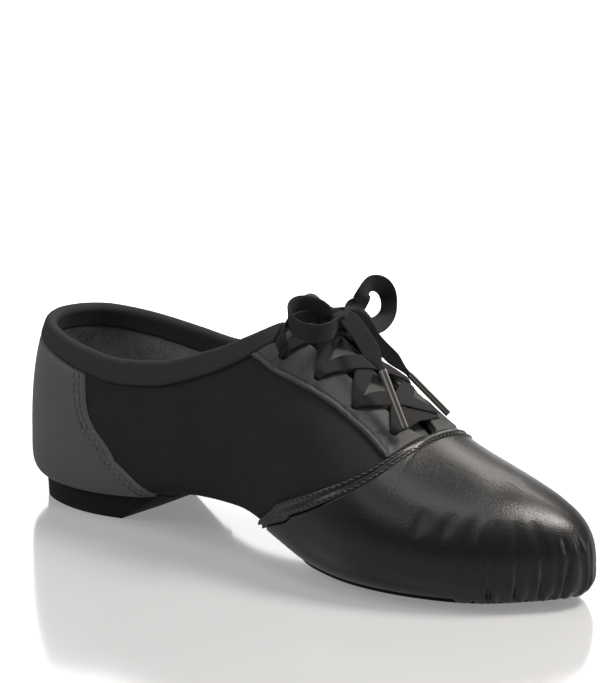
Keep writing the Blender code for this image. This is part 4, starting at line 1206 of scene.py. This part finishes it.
class SHOE_OT_vamp(Operator):
    """Add the toe's leather and the double-stitched band across the instep"""

    bl_idname = "shoe.vamp"
    bl_label = "Vamp"

    def execute(self, context):
        settings = context.scene.jazz_shoe
        # The leather's upper edge lies a little further under the band near the crest
        edge = [(t - 0.10 * smoothstep(10.5, 12.0, t), v) for t, v in SEAM_BAND_EDGE]
        numbers = even_ribs(VAMP_FIRST_RIB, LAST_RIB,
                            lambda t: 1.3 * MM - 0.6 * MM * smoothstep(10.8, 11.6, t))
        patch = rib_patch(numbers, VAMP_LOWER_EDGE, (*edge, (16.0, 1.0)), 110)
        distance = rim_distance(patch)
        outer = PATCH_GAP + LEATHER * rolled(distance, 0.8 * MM) + self.folds(patch, settings.crease_depth)
        looks = [look("vamp_leather")]
        item = add_shell("toe_leather", patch, PATCH_GAP - 0.05 * MM, outer, looks, distance)
        shown(item, "soft_leather", "vamp")
        self.band(settings)
        return {"FINISHED"}

    def folds(self, patch, depth):
        """Lobes between the pleats under the toe, the pleats, fine ripples above them and soft creases."""
        ring = np.where(patch.side < 0, patch.t, 2 * LAST_RIB - patch.t)
        pleats = np.array(PLEATS)
        number = np.clip(np.searchsorted(pleats, ring, side="right") - 1, 0, len(pleats) - 2)
        way = np.clip((ring - pleats[number]) / (pleats[number + 1] - pleats[number]), 0, 1)
        low = 1 - smoothstep(-0.36, 0.06, patch.v)
        lobes = 1.7 * depth * np.sin(np.pi * way) ** 0.5 * low
        wander = ring + 0.05 * np.sin(7.3 * ring) + 0.02 * np.sin(31.0 * ring + 5 * patch.v)
        near_toe = smoothstep(13.2, 14.2, ring) * (1 - smoothstep(17.8, 18.8, ring))
        fine = np.sin(2 * np.pi * wander / 0.23) * np.sin(2 * np.pi * wander / 1.37 + 1.0)
        above_pleats = (1 - smoothstep(0.05, 0.42, patch.v)) * smoothstep(-0.4, 0, patch.v)
        total = lobes + 0.16 * depth * fine * near_toe * above_pleats
        for route in SHARP_PLEATS:
            total += fold(patch.points, route, 0.8 * MM, 1.4 * depth, 0.5, True)
        for route in SOFT_CREASES:
            total += fold(patch.points, route, 2.2 * MM, 0.40 * depth)
        return total + fold(patch.points, CREST_DIP, 6 * MM, 0.7 * depth)

    def band(self, settings):
        """The raised band: two ridges with a dip between them, and the stitches along the ridges."""
        share = np.linspace(0, 1, 17)
        grids = []
        for side in (-1.0, 1.0):
            t, v = (np.stack(rows, 1) for rows in zip(*(band_line(s, side, 420) for s in share)))
            grids.append((t, np.full_like(t, side), v))
        right, left = grids
        t, side, v = (np.concatenate([a, b[::-1]]) for a, b in zip(right, left))
        patch = patch_of(t, side, v, share)
        distance = rim_distance(patch)
        ridges = sum(bump(patch.share - row, 0.17) for row in BAND_ROWS)
        roll = smoothstep(0.62, 0.9, patch.v)
        ridges = ridges * (1 - roll) + 1.8 * bump(patch.share - 0.55, 0.38) * roll
        sunk = smoothstep(-0.60, -0.28, patch.v)
        height = (SEAM_BAND - 0.5 * MM) * rolled(distance, 0.6 * MM) + 0.5 * MM * ridges
        outer = PATCH_GAP + height * sunk
        item = add_shell("vamp_band", patch, PATCH_GAP, outer, [look("vamp_leather")], distance)
        shown(item, "seam_leather", "vamp_seam")
        stitches = []
        for side in (-1.0, 1.0):
            for row in BAND_ROWS:
                t, v = band_line(row, side)
                t, v = t[v > BAND_STITCHES_END], v[v > BAND_STITCHES_END]
                stitches.append(stitch_row(t, side, v, PATCH_GAP + SEAM_BAND, settings.stitch_pitch,
                                           (2.0 * MM, 0.6 * MM), 0.5 * side))
        shown(add_stitches("band_stitches", stitches, "vamp_thread"), "seam_leather")


class SHOE_OT_stays(Operator):
    """Add the soft leather lace stays with their piped lower edge"""

    bl_idname = "shoe.stays"
    bl_label = "Lace stays"

    def execute(self, context):
        settings = context.scene.jazz_shoe
        for name, side_sign in (("stay_right", -1.0), ("stay_left", 1.0)):
            t = np.linspace(STAY_FIRST_RIB, STAY_LAST_RIB, 230)[:, None]
            side = np.full_like(t, side_sign)
            low = np.maximum(monotone_curve(STAY_LOWER_EDGE, t), monotone_curve(VAMP_SEAM, t))
            high = self.upper_edge(t, side)
            v = even_rows(t, side, np.minimum(low, high), high, 60)
            patch = patch_of(t, side, v, np.linspace(0, 1, 60))
            distance = rim_distance(patch)
            edge_t = np.linspace(STAY_FIRST_RIB, 11.5, 200)
            edge = rib_point(edge_t, side_sign, monotone_curve(STAY_LOWER_EDGE, edge_t))
            lower = distance_to(patch.points, edge)
            piping = 0.45 * MM * bump(lower - 0.9 * MM, 0.7 * MM)
            piping = piping - 0.35 * MM * bump(lower - 2.1 * MM, 0.4 * MM)
            outer = PATCH_GAP + LEATHER * rolled(distance, 0.9 * MM) + piping * rolled(distance, MM)
            outer = outer + self.folds(patch, side_sign, settings.crease_depth) * rolled(distance, 2 * MM)
            item = add_shell(name, patch, PATCH_GAP, outer, [look("stay_leather")], distance)
            cut_holes(item, (side_sign,))
            shown(item, "stay_leather", "lace_" + name)
        return {"FINISHED"}

    def upper_edge(self, t, side):
        """Under the binding, then along the throat."""
        turn = np.clip((t - BINDING_LAST_RIB - 0.05) / 0.15, 0, 1)
        rim = rim_v(t, side)
        under_binding = v_below(t, side, rim, BINDING_WIDTH - GAP)
        return under_binding + (v_below(t, side, rim, GAP) - under_binding) * turn

    def folds(self, patch, side, depth):
        """Wrinkles that run from the holes towards the piped edge."""
        total = np.zeros(len(patch.points))
        for t, v in HOLES:
            for lean in (-0.28, 0.02, 0.30):
                route = ((t + 0.06 * np.sign(lean), side, v - 0.03), (t + lean, side, v - 0.13))
                total += fold(patch.points, route, 1.1 * MM, 0.5 * depth)
        return total


class SHOE_OT_binding(Operator):
    """Add the knit binding folded over the collar"""

    bl_idname = "shoe.binding"
    bl_label = "Binding"

    def execute(self, context):
        t, side = around_heel(even_ribs(0, BINDING_LAST_RIB, FINE_PACE))
        rim = rim_v(t, side)
        upward = unit(rib_point(t, side, rim) - rib_point(t, side, rim - 0.02))
        far = BINDING_GAP + BINDING_THICKNESS
        corner = 0.45 * MM
        legs = np.linspace(BINDING_WIDTH, 0, 12)
        turn = np.linspace(0, np.pi, 13)[1:-1]
        outline = [(-depth, far - corner * (1 - rolled(BINDING_WIDTH - depth, corner))) for depth in legs]
        outline += [((far + WALL / 2) * np.sin(a), (far + WALL / 2) * np.cos(a) - WALL / 2) for a in turn]
        outline += [(h, -WALL - o) for h, o in outline[:12][::-1]]
        inside = [(-BINDING_WIDTH, -WALL - 0.1 * MM), (0.0, -WALL - 0.1 * MM), (0.2 * MM, -WALL / 2),
                  (0.0, 0.1 * MM), (-BINDING_WIDTH, 0.1 * MM)]
        section = outline + inside
        rings = []
        for height, out in section:
            reach = binding_depth(t) / BINDING_WIDTH if out > 0 else 1.0
            v = v_below(t, side, rim, max(0.0, -height) * reach)
            lift = upward * max(0.0, height)
            rings.append(rib_point(t, side, v) + rib_normal(t, side, v) * out + lift)
        rings = np.stack(rings, 1)
        around = walked_along(np.array(section + section[:1]))
        item = add_tube("binding", rings, walked_along(rings[:, 6]), around, "knit_binding")
        shown(item, "knit_binding", "collar_binding")
        return {"FINISHED"}


class SHOE_OT_tongue(Operator):
    """Add the tongue, whose top rises above the throat"""

    bl_idname = "shoe.tongue"
    bl_label = "Tongue"

    def execute(self, context):
        ribs = np.linspace(TONGUE_OUTLINE[0][0], TONGUE_OUTLINE[-1][0], 110)[:, None]
        across = np.linspace(-1, 1, 49)
        side = np.where(across < 0, -1.0, 1.0)
        half = (THROAT_WIDTH / 2 + TONGUE_SIDE) * monotone_curve(TONGUE_OUTLINE, ribs)
        t, side, half = np.broadcast_arrays(ribs, side, half)
        v = 1 - np.abs(across) * (1 - v_beside_crest(t, side, half))
        normals = rib_normal(t, side, v)
        outer = rib_point(t, side, v) - normals * (WALL + TONGUE_GAP)
        inner = outer - normals * TONGUE_THICKNESS
        top_half = half[0, 0]
        knots, leans, widths = np.array([(0.0, 0.0, top_half / TONGUE_RISE), *TONGUE_TOP]).T
        rises = np.linspace(0, 1, 22)
        lean = natural_spline(knots, leans, rises)
        width = np.interp(rises, knots, widths)
        lifted = []
        for sheet in (inner, outer):
            rows = [sheet[0] * [1, half_width * TONGUE_RISE / top_half, 1]
                    + np.array([-back, 0.0, rise]) * TONGUE_RISE
                    for rise, back, half_width in zip(rises[1:], lean[1:], width[1:])]
            lifted.append(np.concatenate([np.array(rows)[::-1], sheet]))
        rows, columns = lifted[0].shape[:2]
        points = np.concatenate([sheet.reshape(-1, 3) for sheet in lifted])
        faces, _ = closed_sheet(grid_cells(rows, columns), rows * columns)
        item = add_mesh("tongue_leather", points, faces, [look("stay_leather")])
        face_outwards(item)
        shown(item, "tongue_leather", "tongue")
        return {"FINISHED"}


class SHOE_OT_soles(Operator):
    """Add the rubber heel and the forefoot's tread"""

    bl_idname = "shoe.soles"
    bl_label = "Soles"

    def execute(self, context):
        t, side = (line[:, None] for line in around_heel(even_ribs(0, HEEL_LAST_RIB, FINE_PACE)))
        v = even_rows(t, side, -1.0, HEEL_EDGE, 40)
        patch = patch_of(t, side, v, np.linspace(0, 1, 40))
        top = patch.points + patch.normals * GAP
        floor = np.stack([LENGTH * monotone_curve(BREAST, top[:, 0] / LENGTH), top[:, 1], 0 * top[:, 2]], 1)
        self.layered("heel_block", patch, floor, top, 8, "heel_rubber", "heel")
        patch = rib_patch(even_ribs(SOLE_EDGE[0][0], LAST_RIB, FINE_PACE), -1.0, SOLE_EDGE, 50)
        top = patch.points + patch.normals * GAP
        floor = top.copy()
        floor[:, 2] = np.maximum(0, top[:, 2] - SOLE_THICKNESS - SOLE_BED)
        self.layered("forefoot_tread", patch, floor, top, 3, "sole_rubber", "forefoot_sole")
        return {"FINISHED"}

    def layered(self, name, patch, floor, top, layers, finish, node):
        """A block from a lower and an upper sheet, with walls in layers."""
        count = len(top)
        rim = open_edges(patch.faces)
        order = np.unique(rim)
        number = np.zeros(count, int)
        number[order] = np.arange(len(order))
        rise = top[order] - floor[order]
        levels = [floor[order] + rise * k / (layers + 1) for k in range(1, layers + 1)]
        points = np.concatenate([floor, top, *levels])
        stack = [rim.T, *(number[rim.T] + 2 * count + k * len(order) for k in range(layers)), rim.T + count]
        walls = []
        for (a, b), (d, c) in zip(stack, stack[1:]):
            walls.append(np.stack([a, b, c], 1))
            walls.append(np.stack([a, c, d], 1))
        faces = np.concatenate([patch.faces, patch.faces[:, ::-1] + count, *walls])
        item = add_mesh(name, points, faces, [look(finish)])
        item.data.set_sharp_from_angle(angle=np.radians(40))
        face_outwards(item)
        shown(item, finish, node)


def shoe_point(thousandths):
    """A place given in thousandths of the shoe's length, width and height."""
    return np.array(thousandths) * (LENGTH, BALL_WIDTH, INSTEP_HEIGHT) / 1000


def smooth_line(route, count):
    """Points evenly spaced on a smooth line through a route."""
    steps = np.linspace(0, len(route) - 1, 40 * len(route))
    fine = np.stack([natural_spline(np.arange(float(len(route))), axis, steps) for axis in route.T], 1)
    walked = walked_along(fine)
    wanted = np.linspace(0, walked[-1], count)
    return np.stack([np.interp(wanted, walked, axis) for axis in fine.T], 1)


def add_tape(name, line, across, width, thickness, finish, cup=0.0):
    """A flat tape along a line: its section is a flattened superellipse, curled by cup at its edges."""
    count = len(line)
    ahead = unit(np.gradient(line, axis=0))
    across = np.broadcast_to(across, line.shape)
    across = unit(across - ahead * np.einsum("ij,ij->i", across, ahead)[:, None])
    out = np.cross(ahead, across)
    turns = np.linspace(0, 2 * np.pi, 24, endpoint=False)
    flat = np.sign(np.cos(turns)) * np.abs(np.cos(turns)) ** 0.45
    thick = np.sign(np.sin(turns)) * np.abs(np.sin(turns)) ** 0.6
    width = np.broadcast_to(width, count)[:, None, None] / 2
    thickness = np.broadcast_to(thickness, count)[:, None, None] / 2
    cup = np.broadcast_to(cup, count)[:, None, None]
    rings = (line[:, None] + across[:, None] * flat[None, :, None] * width
             + out[:, None] * (thick[None, :, None] * thickness + cup * flat[None, :, None] ** 2))
    section = np.stack([np.append(flat, flat[0]) * 3.3 * MM, np.append(thick, thick[0]) * 0.5 * MM], 1)
    return add_tube(name, rings, walked_along(line), walked_along(section), finish)


class SHOE_OT_laces(Operator):
    """Add the lace: the bars and crossings through the holes, the knot, the bow and the ends"""

    bl_idname = "shoe.laces"
    bl_label = "Laces"

    def execute(self, context):
        settings = context.scene.jazz_shoe
        width, thickness = settings.lace_width, settings.lace_thickness
        self.crossings(0.88 * width, thickness)
        self.knot(width, thickness)
        for *lay, share in LOOPS:
            self.loop(*lay, share * width, thickness)
        for name, route, aglet_route, share, tip_share, droop in ENDS:
            self.end(name, route, aglet_route, share * width, thickness, tip_share * AGLET_DIAMETER, droop)
        return {"FINISHED"}

    def run(self, name, start, finish, width, thickness, lift):
        """A tape from one hole to another over the throat; a hole is a rib number, a side and v."""
        way = np.linspace(0, 1, 80)
        even = np.clip((way - 0.05) / 0.9, 0, 1)
        share = smoothstep(0, 1, even) * 0.25 + even * 0.75
        over = start[1] * (1 - start[2]) * (1 - share) + finish[1] * (1 - finish[2]) * share
        t = start[0] + (finish[0] - start[0]) * share
        side = np.where(over < 0, -1.0, 1.0)
        v = 1 - np.abs(over)
        rise = smoothstep(0, 0.12, way) * smoothstep(0, 0.12, 1 - way)
        height = TAPE_IN_HOLE + (3.4 * MM + lift) * rise
        line = on_upper(t, side, v, height)
        normals = rib_normal(t, side, v)
        across = np.cross(normals, np.gradient(line, axis=0))
        narrow = 0.40 + 0.60 * smoothstep(0, 0.36, way) * smoothstep(0, 0.36, 1 - way)
        return add_tape(name, line, across, width * narrow, thickness * (2 - narrow), "lace_tape")

    def crossings(self, width, thickness):
        """The bar below, three crossings over it and the rises to the knot, as one piece."""
        t, v = HOLES[-1]
        runs = [self.run("bar", (t, -1.0, v), (t, 1.0, v), width, thickness, 0)]
        for (upper_t, upper_v), (lower_t, lower_v) in zip(HOLES, HOLES[1:]):
            for side, lift in ((-1.0, 0.0), (1.0, 0.9 * MM)):
                runs.append(self.run("crossing", (lower_t, side, lower_v), (upper_t, -side, upper_v),
                                     width, thickness, lift))
        knot = shoe_point(KNOT_PLACE)
        t, v = HOLES[0]
        for side in (-1.0, 1.0):
            out = [on_upper(t, side, v, TAPE_IN_HOLE), on_upper(t, side, v, 1.2 * MM)]
            if side < 0:
                route = [*out, *shoe_point(NEAR_RISE_ROUTE), knot]
                across = np.array([0.35, -0.2, 0.9])
            else:
                beside_knot = knot + np.array([0, 3.0, -2.0]) * MM
                route = [*out, on_upper(t + 0.18, side, v + 0.16, 3.4 * MM), beside_knot]
                across = np.array([1.0, 0.0, -0.5])
            line = smooth_line(np.array(route), 50)
            wide = width * (0.45 + 0.5 * smoothstep(0.04, 0.28, np.linspace(0, 1, 50)))
            runs.append(add_tape("rise", line, across, wide, thickness, "lace_tape"))
        shown(joined("lace_runs", runs), "lace_tape", "lace_crossings")

    def knot(self, width, thickness):
        """The knot: a bundle of tape along y, with one turn of tape wrapped around its middle."""
        centre = shoe_point(KNOT_PLACE) - (0, 0, KNOT_DROP)
        way = np.linspace(-1, 1, 24)
        middle = centre + np.outer(way, (0.3 * MM, KNOT_REACH, 0.0))
        swell = np.sqrt(np.clip(1 - (way * 0.82) ** 2, 0, 1))
        upright = np.array((0.4, 0.0, 1.0))
        wide, thick = (size * swell for size in KNOT_BUNDLE)
        bundle = add_tape("bundle", middle, upright, wide, thick, "lace_tape")
        turn = np.linspace(0, 2 * np.pi, 60)
        along, up = KNOT_WRAP
        ring = np.stack([along * np.cos(turn), 0.9 * MM * np.sin(turn * 0.5), up * np.sin(turn)], 1)
        sideways = np.array((0.05, 1.0, 0.1))
        wrap = add_tape("wrap", centre + ring, sideways, width, thickness, "lace_tape", 0.3 * MM)
        shown(joined("knot", [bundle, wrap]), "lace_tape", "lace_knot")

    def loop(self, name, route, axis, flare, gather, width, thickness):
        """A loop of the bow: tape around an axis that flares outwards and narrows into the knot."""
        count = 100
        line = smooth_line(shoe_point((KNOT_PLACE, *route, KNOT_PLACE)), count)
        share = np.linspace(0, 1, count)
        pinch = 0.5 + 0.5 * smoothstep(0.02, gather, share) * smoothstep(0.02, gather, 1 - share)
        axis = unit(np.array(axis))
        outward = line - line.mean(0)
        across = axis + flare * unit(outward - np.outer(outward @ axis, axis))
        item = add_tape("loop_" + name, line, across, width * pinch, thickness * (1.6 - 0.6 * pinch),
                        "lace_tape", 0.35 * MM)
        shown(item, "lace_tape", "lace_loop_" + name)

    def end(self, name, route, aglet_route, width, thickness, tip_size, droop):
        """An end of the lace: flat tape from the knot that is rolled up inside its aglet."""
        tape = smooth_line(shoe_point((KNOT_PLACE, *route)), 70)
        aglet = smooth_line(shoe_point(aglet_route), 30)
        tape[:, 2] -= droop * smoothstep(0, 1, np.linspace(0, 1, len(tape)))
        aglet[:, 2] -= droop
        line = np.concatenate([tape, aglet[1:]])
        walked = walked_along(line)
        free = np.linalg.norm(np.diff(tape, axis=0), axis=1).sum()
        into = smoothstep(free - 9 * MM, free, walked)
        wide = width * (0.7 + 0.3 * smoothstep(0, 6 * MM, walked))
        inside = tip_size - 0.5 * MM
        side = np.cross(LACE_END_FACING, unit(line[-1] - line[0]))
        item = add_tape("end_" + name, line, side, wide * (1 - into) + inside * into,
                        thickness * (1 - into) + inside * 0.8 * into, "lace_tape", 0.3 * MM * (1 - into))
        shown(item, "lace_tape", "lace_end_" + name)
        tip = add_tape("aglet_" + name + "_film", aglet, side, tip_size, tip_size * 0.85, "aglet_film")
        shown(tip, "aglet_film", "aglet_" + name)


def joined(name, items):
    """Several pieces of one kind as one object."""
    with bpy.context.temp_override(active_object=items[0], selected_editable_objects=items):
        bpy.ops.object.join()
    items[0].name = name
    items[0].data.name = name
    return items[0]


def direction(azimuth, elevation):
    """The way from the shoe to a place at angles in degrees; azimuth 0 is the outer side."""
    azimuth, elevation = np.radians((azimuth, elevation))
    flat = np.array((np.sin(azimuth), -np.cos(azimuth))) * np.cos(elevation)
    return np.array((*flat, np.sin(elevation)))


class SHOE_OT_stage(Operator):
    """Set the floor, the soft studio light and the photograph's camera"""

    bl_idname = "shoe.stage"
    bl_label = "Stage"

    def execute(self, context):
        settings = context.scene.jazz_shoe
        self.floor(settings.floor_tone)
        for lamp in LAMPS:
            self.light(*lamp)
        self.world(context)
        context.scene.view_settings.view_transform = "Standard"
        self.camera(context)
        return {"FINISHED"}

    def facing(self, data, right, back, place):
        """Put a lamp or a camera in the scene: x to its right, z away from what it faces."""
        matrix = np.eye(4)
        matrix[:3] = np.stack([right, np.cross(back, right), back, place], 1)
        item = bpy.data.objects.new(data.name, data)
        item.matrix_world = Matrix(matrix.tolist())
        bpy.context.collection.objects.link(item)
        return item

    def world(self, context):
        """White where the camera looks past the floor, and a dim grey room for everything else."""
        world = bpy.data.worlds.new("studio")
        world.use_nodes = True
        tree = world.node_tree
        tree.nodes.clear()
        path = tree.nodes.new("ShaderNodeLightPath")
        mix = tree.nodes.new("ShaderNodeMixShader")
        tree.links.new(path.outputs["Is Camera Ray"], mix.inputs["Fac"])
        for socket, strength in ((1, ROOM_LIGHT), (2, 1.0)):
            room = tree.nodes.new("ShaderNodeBackground")
            room.inputs["Color"].default_value = (1.0, 1.0, 1.0, 1.0)
            room.inputs["Strength"].default_value = strength
            tree.links.new(room.outputs["Background"], mix.inputs[socket])
        output = tree.nodes.new("ShaderNodeOutputWorld")
        tree.links.new(mix.outputs["Shader"], output.inputs["Surface"])
        context.scene.world = world

    def floor(self, tone):
        """A wide glossy floor, lit from below far behind the shoe."""
        nodes = Nodes("floor")
        place = nodes.place()
        away_x, away_y = -0.592, 0.806
        behind = nodes.part(place, "Y") * away_y + nodes.part(place, "X") * away_x
        glow = nodes.ramp(behind, FLOOR_GLOW)
        look_of_floor = nodes.shaded({
            "Base Color": (tone, tone, tone, 1.0),
            "Roughness": 0.12,
            "IOR": 1.8,
            "Emission Color": glow,
            "Emission Strength": 1.0,
        })
        steps = np.linspace(-FLOOR_REACH, FLOOR_REACH, 3)
        x, y = (axis.ravel() for axis in np.meshgrid(steps, steps))
        points = np.stack([x + HEEL_CENTRE, y, np.full(len(x), -FLOOR_DROP)], 1)
        quads = [(0, 1, 4, 3), (1, 2, 5, 4), (3, 4, 7, 6), (4, 5, 8, 7)]
        add_mesh("floor", points, quads, [look_of_floor])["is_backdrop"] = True

    def light(self, name, azimuth, elevation, distance, width, height, radiance, warmth):
        """A soft rectangular lamp that faces the shoe, at angles about it counted like the camera's."""
        lamp = bpy.data.lights.new(name, "AREA")
        lamp.shape = "RECTANGLE"
        lamp.size, lamp.size_y = width, height
        lamp.energy = radiance * np.pi * width * height
        lamp.color = (1.0, 1.0 - 0.5 * warmth, 1.0 - warmth)
        back = direction(azimuth, elevation)
        right = unit(np.cross((0.0, 0.0, 1.0), back))
        self.facing(lamp, right, back, np.array(LAMP_TARGET) * MM + back * distance)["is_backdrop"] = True

    def camera(self, context):
        """The camera at the photograph's place and angle."""
        back = direction(CAMERA_AZIMUTH, CAMERA_ELEVATION)
        azimuth, roll = np.radians((CAMERA_AZIMUTH, CAMERA_ROLL))
        level = np.array((np.cos(azimuth), np.sin(azimuth), 0.0))
        right = level * np.cos(roll) + np.cross(back, level) * np.sin(roll)
        camera = bpy.data.cameras.new("photograph")
        camera.lens = CAMERA_LENS
        camera.clip_start, camera.clip_end = 0.05, 20.0
        place = np.array(CAMERA_PLACE) * MM - (HEEL_CENTRE, 0, 0)
        context.scene.camera = self.facing(camera, right, back, place)


class SHOE_PT_panel(Panel):
    """Buttons that build the shoe, and its settings"""

    bl_idname = "SHOE_PT_panel"
    bl_label = "Jazz Shoe"
    bl_space_type = "VIEW_3D"
    bl_region_type = "UI"
    bl_category = "Jazz Shoe"

    def draw(self, context):
        for name in ShoeSettings.__annotations__:
            self.layout.prop(context.scene.jazz_shoe, name)
        for operator in OPERATORS:
            self.layout.operator(operator.bl_idname)


OPERATORS = (
    SHOE_OT_stage, SHOE_OT_finishes, SHOE_OT_laces, SHOE_OT_upper, SHOE_OT_counter, SHOE_OT_vamp,
    SHOE_OT_stays, SHOE_OT_binding, SHOE_OT_tongue, SHOE_OT_soles,
)
CLASSES = (ShoeSettings, *OPERATORS, SHOE_PT_panel)


def register():
    """Register the classes and hang the settings on the scene."""
    for entry in CLASSES:
        bpy.utils.register_class(entry)
    bpy.types.Scene.jazz_shoe = PointerProperty(type=ShoeSettings)


def unregister():
    """Take the settings and the classes away again."""
    del bpy.types.Scene.jazz_shoe
    for entry in reversed(CLASSES):
        bpy.utils.unregister_class(entry)


def main():
    """Build the shoe and its stage, then work out the bounds of the solids and of the looks."""
    register()
    bpy.ops.shoe.stage()
    bpy.ops.shoe.finishes()
    bpy.ops.shoe.laces()
    bpy.ops.shoe.upper()
    bpy.ops.shoe.counter()
    bpy.ops.shoe.vamp()
    bpy.ops.shoe.stays()
    bpy.ops.shoe.binding()
    bpy.ops.shoe.tongue()
    bpy.ops.shoe.soles()
    boxes = {"cad": CAD_BOX, "visual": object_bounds()}
    {key: [list(corner) for corner in box] for key, box in boxes.items()}


if __name__ == "__main__":
    main()
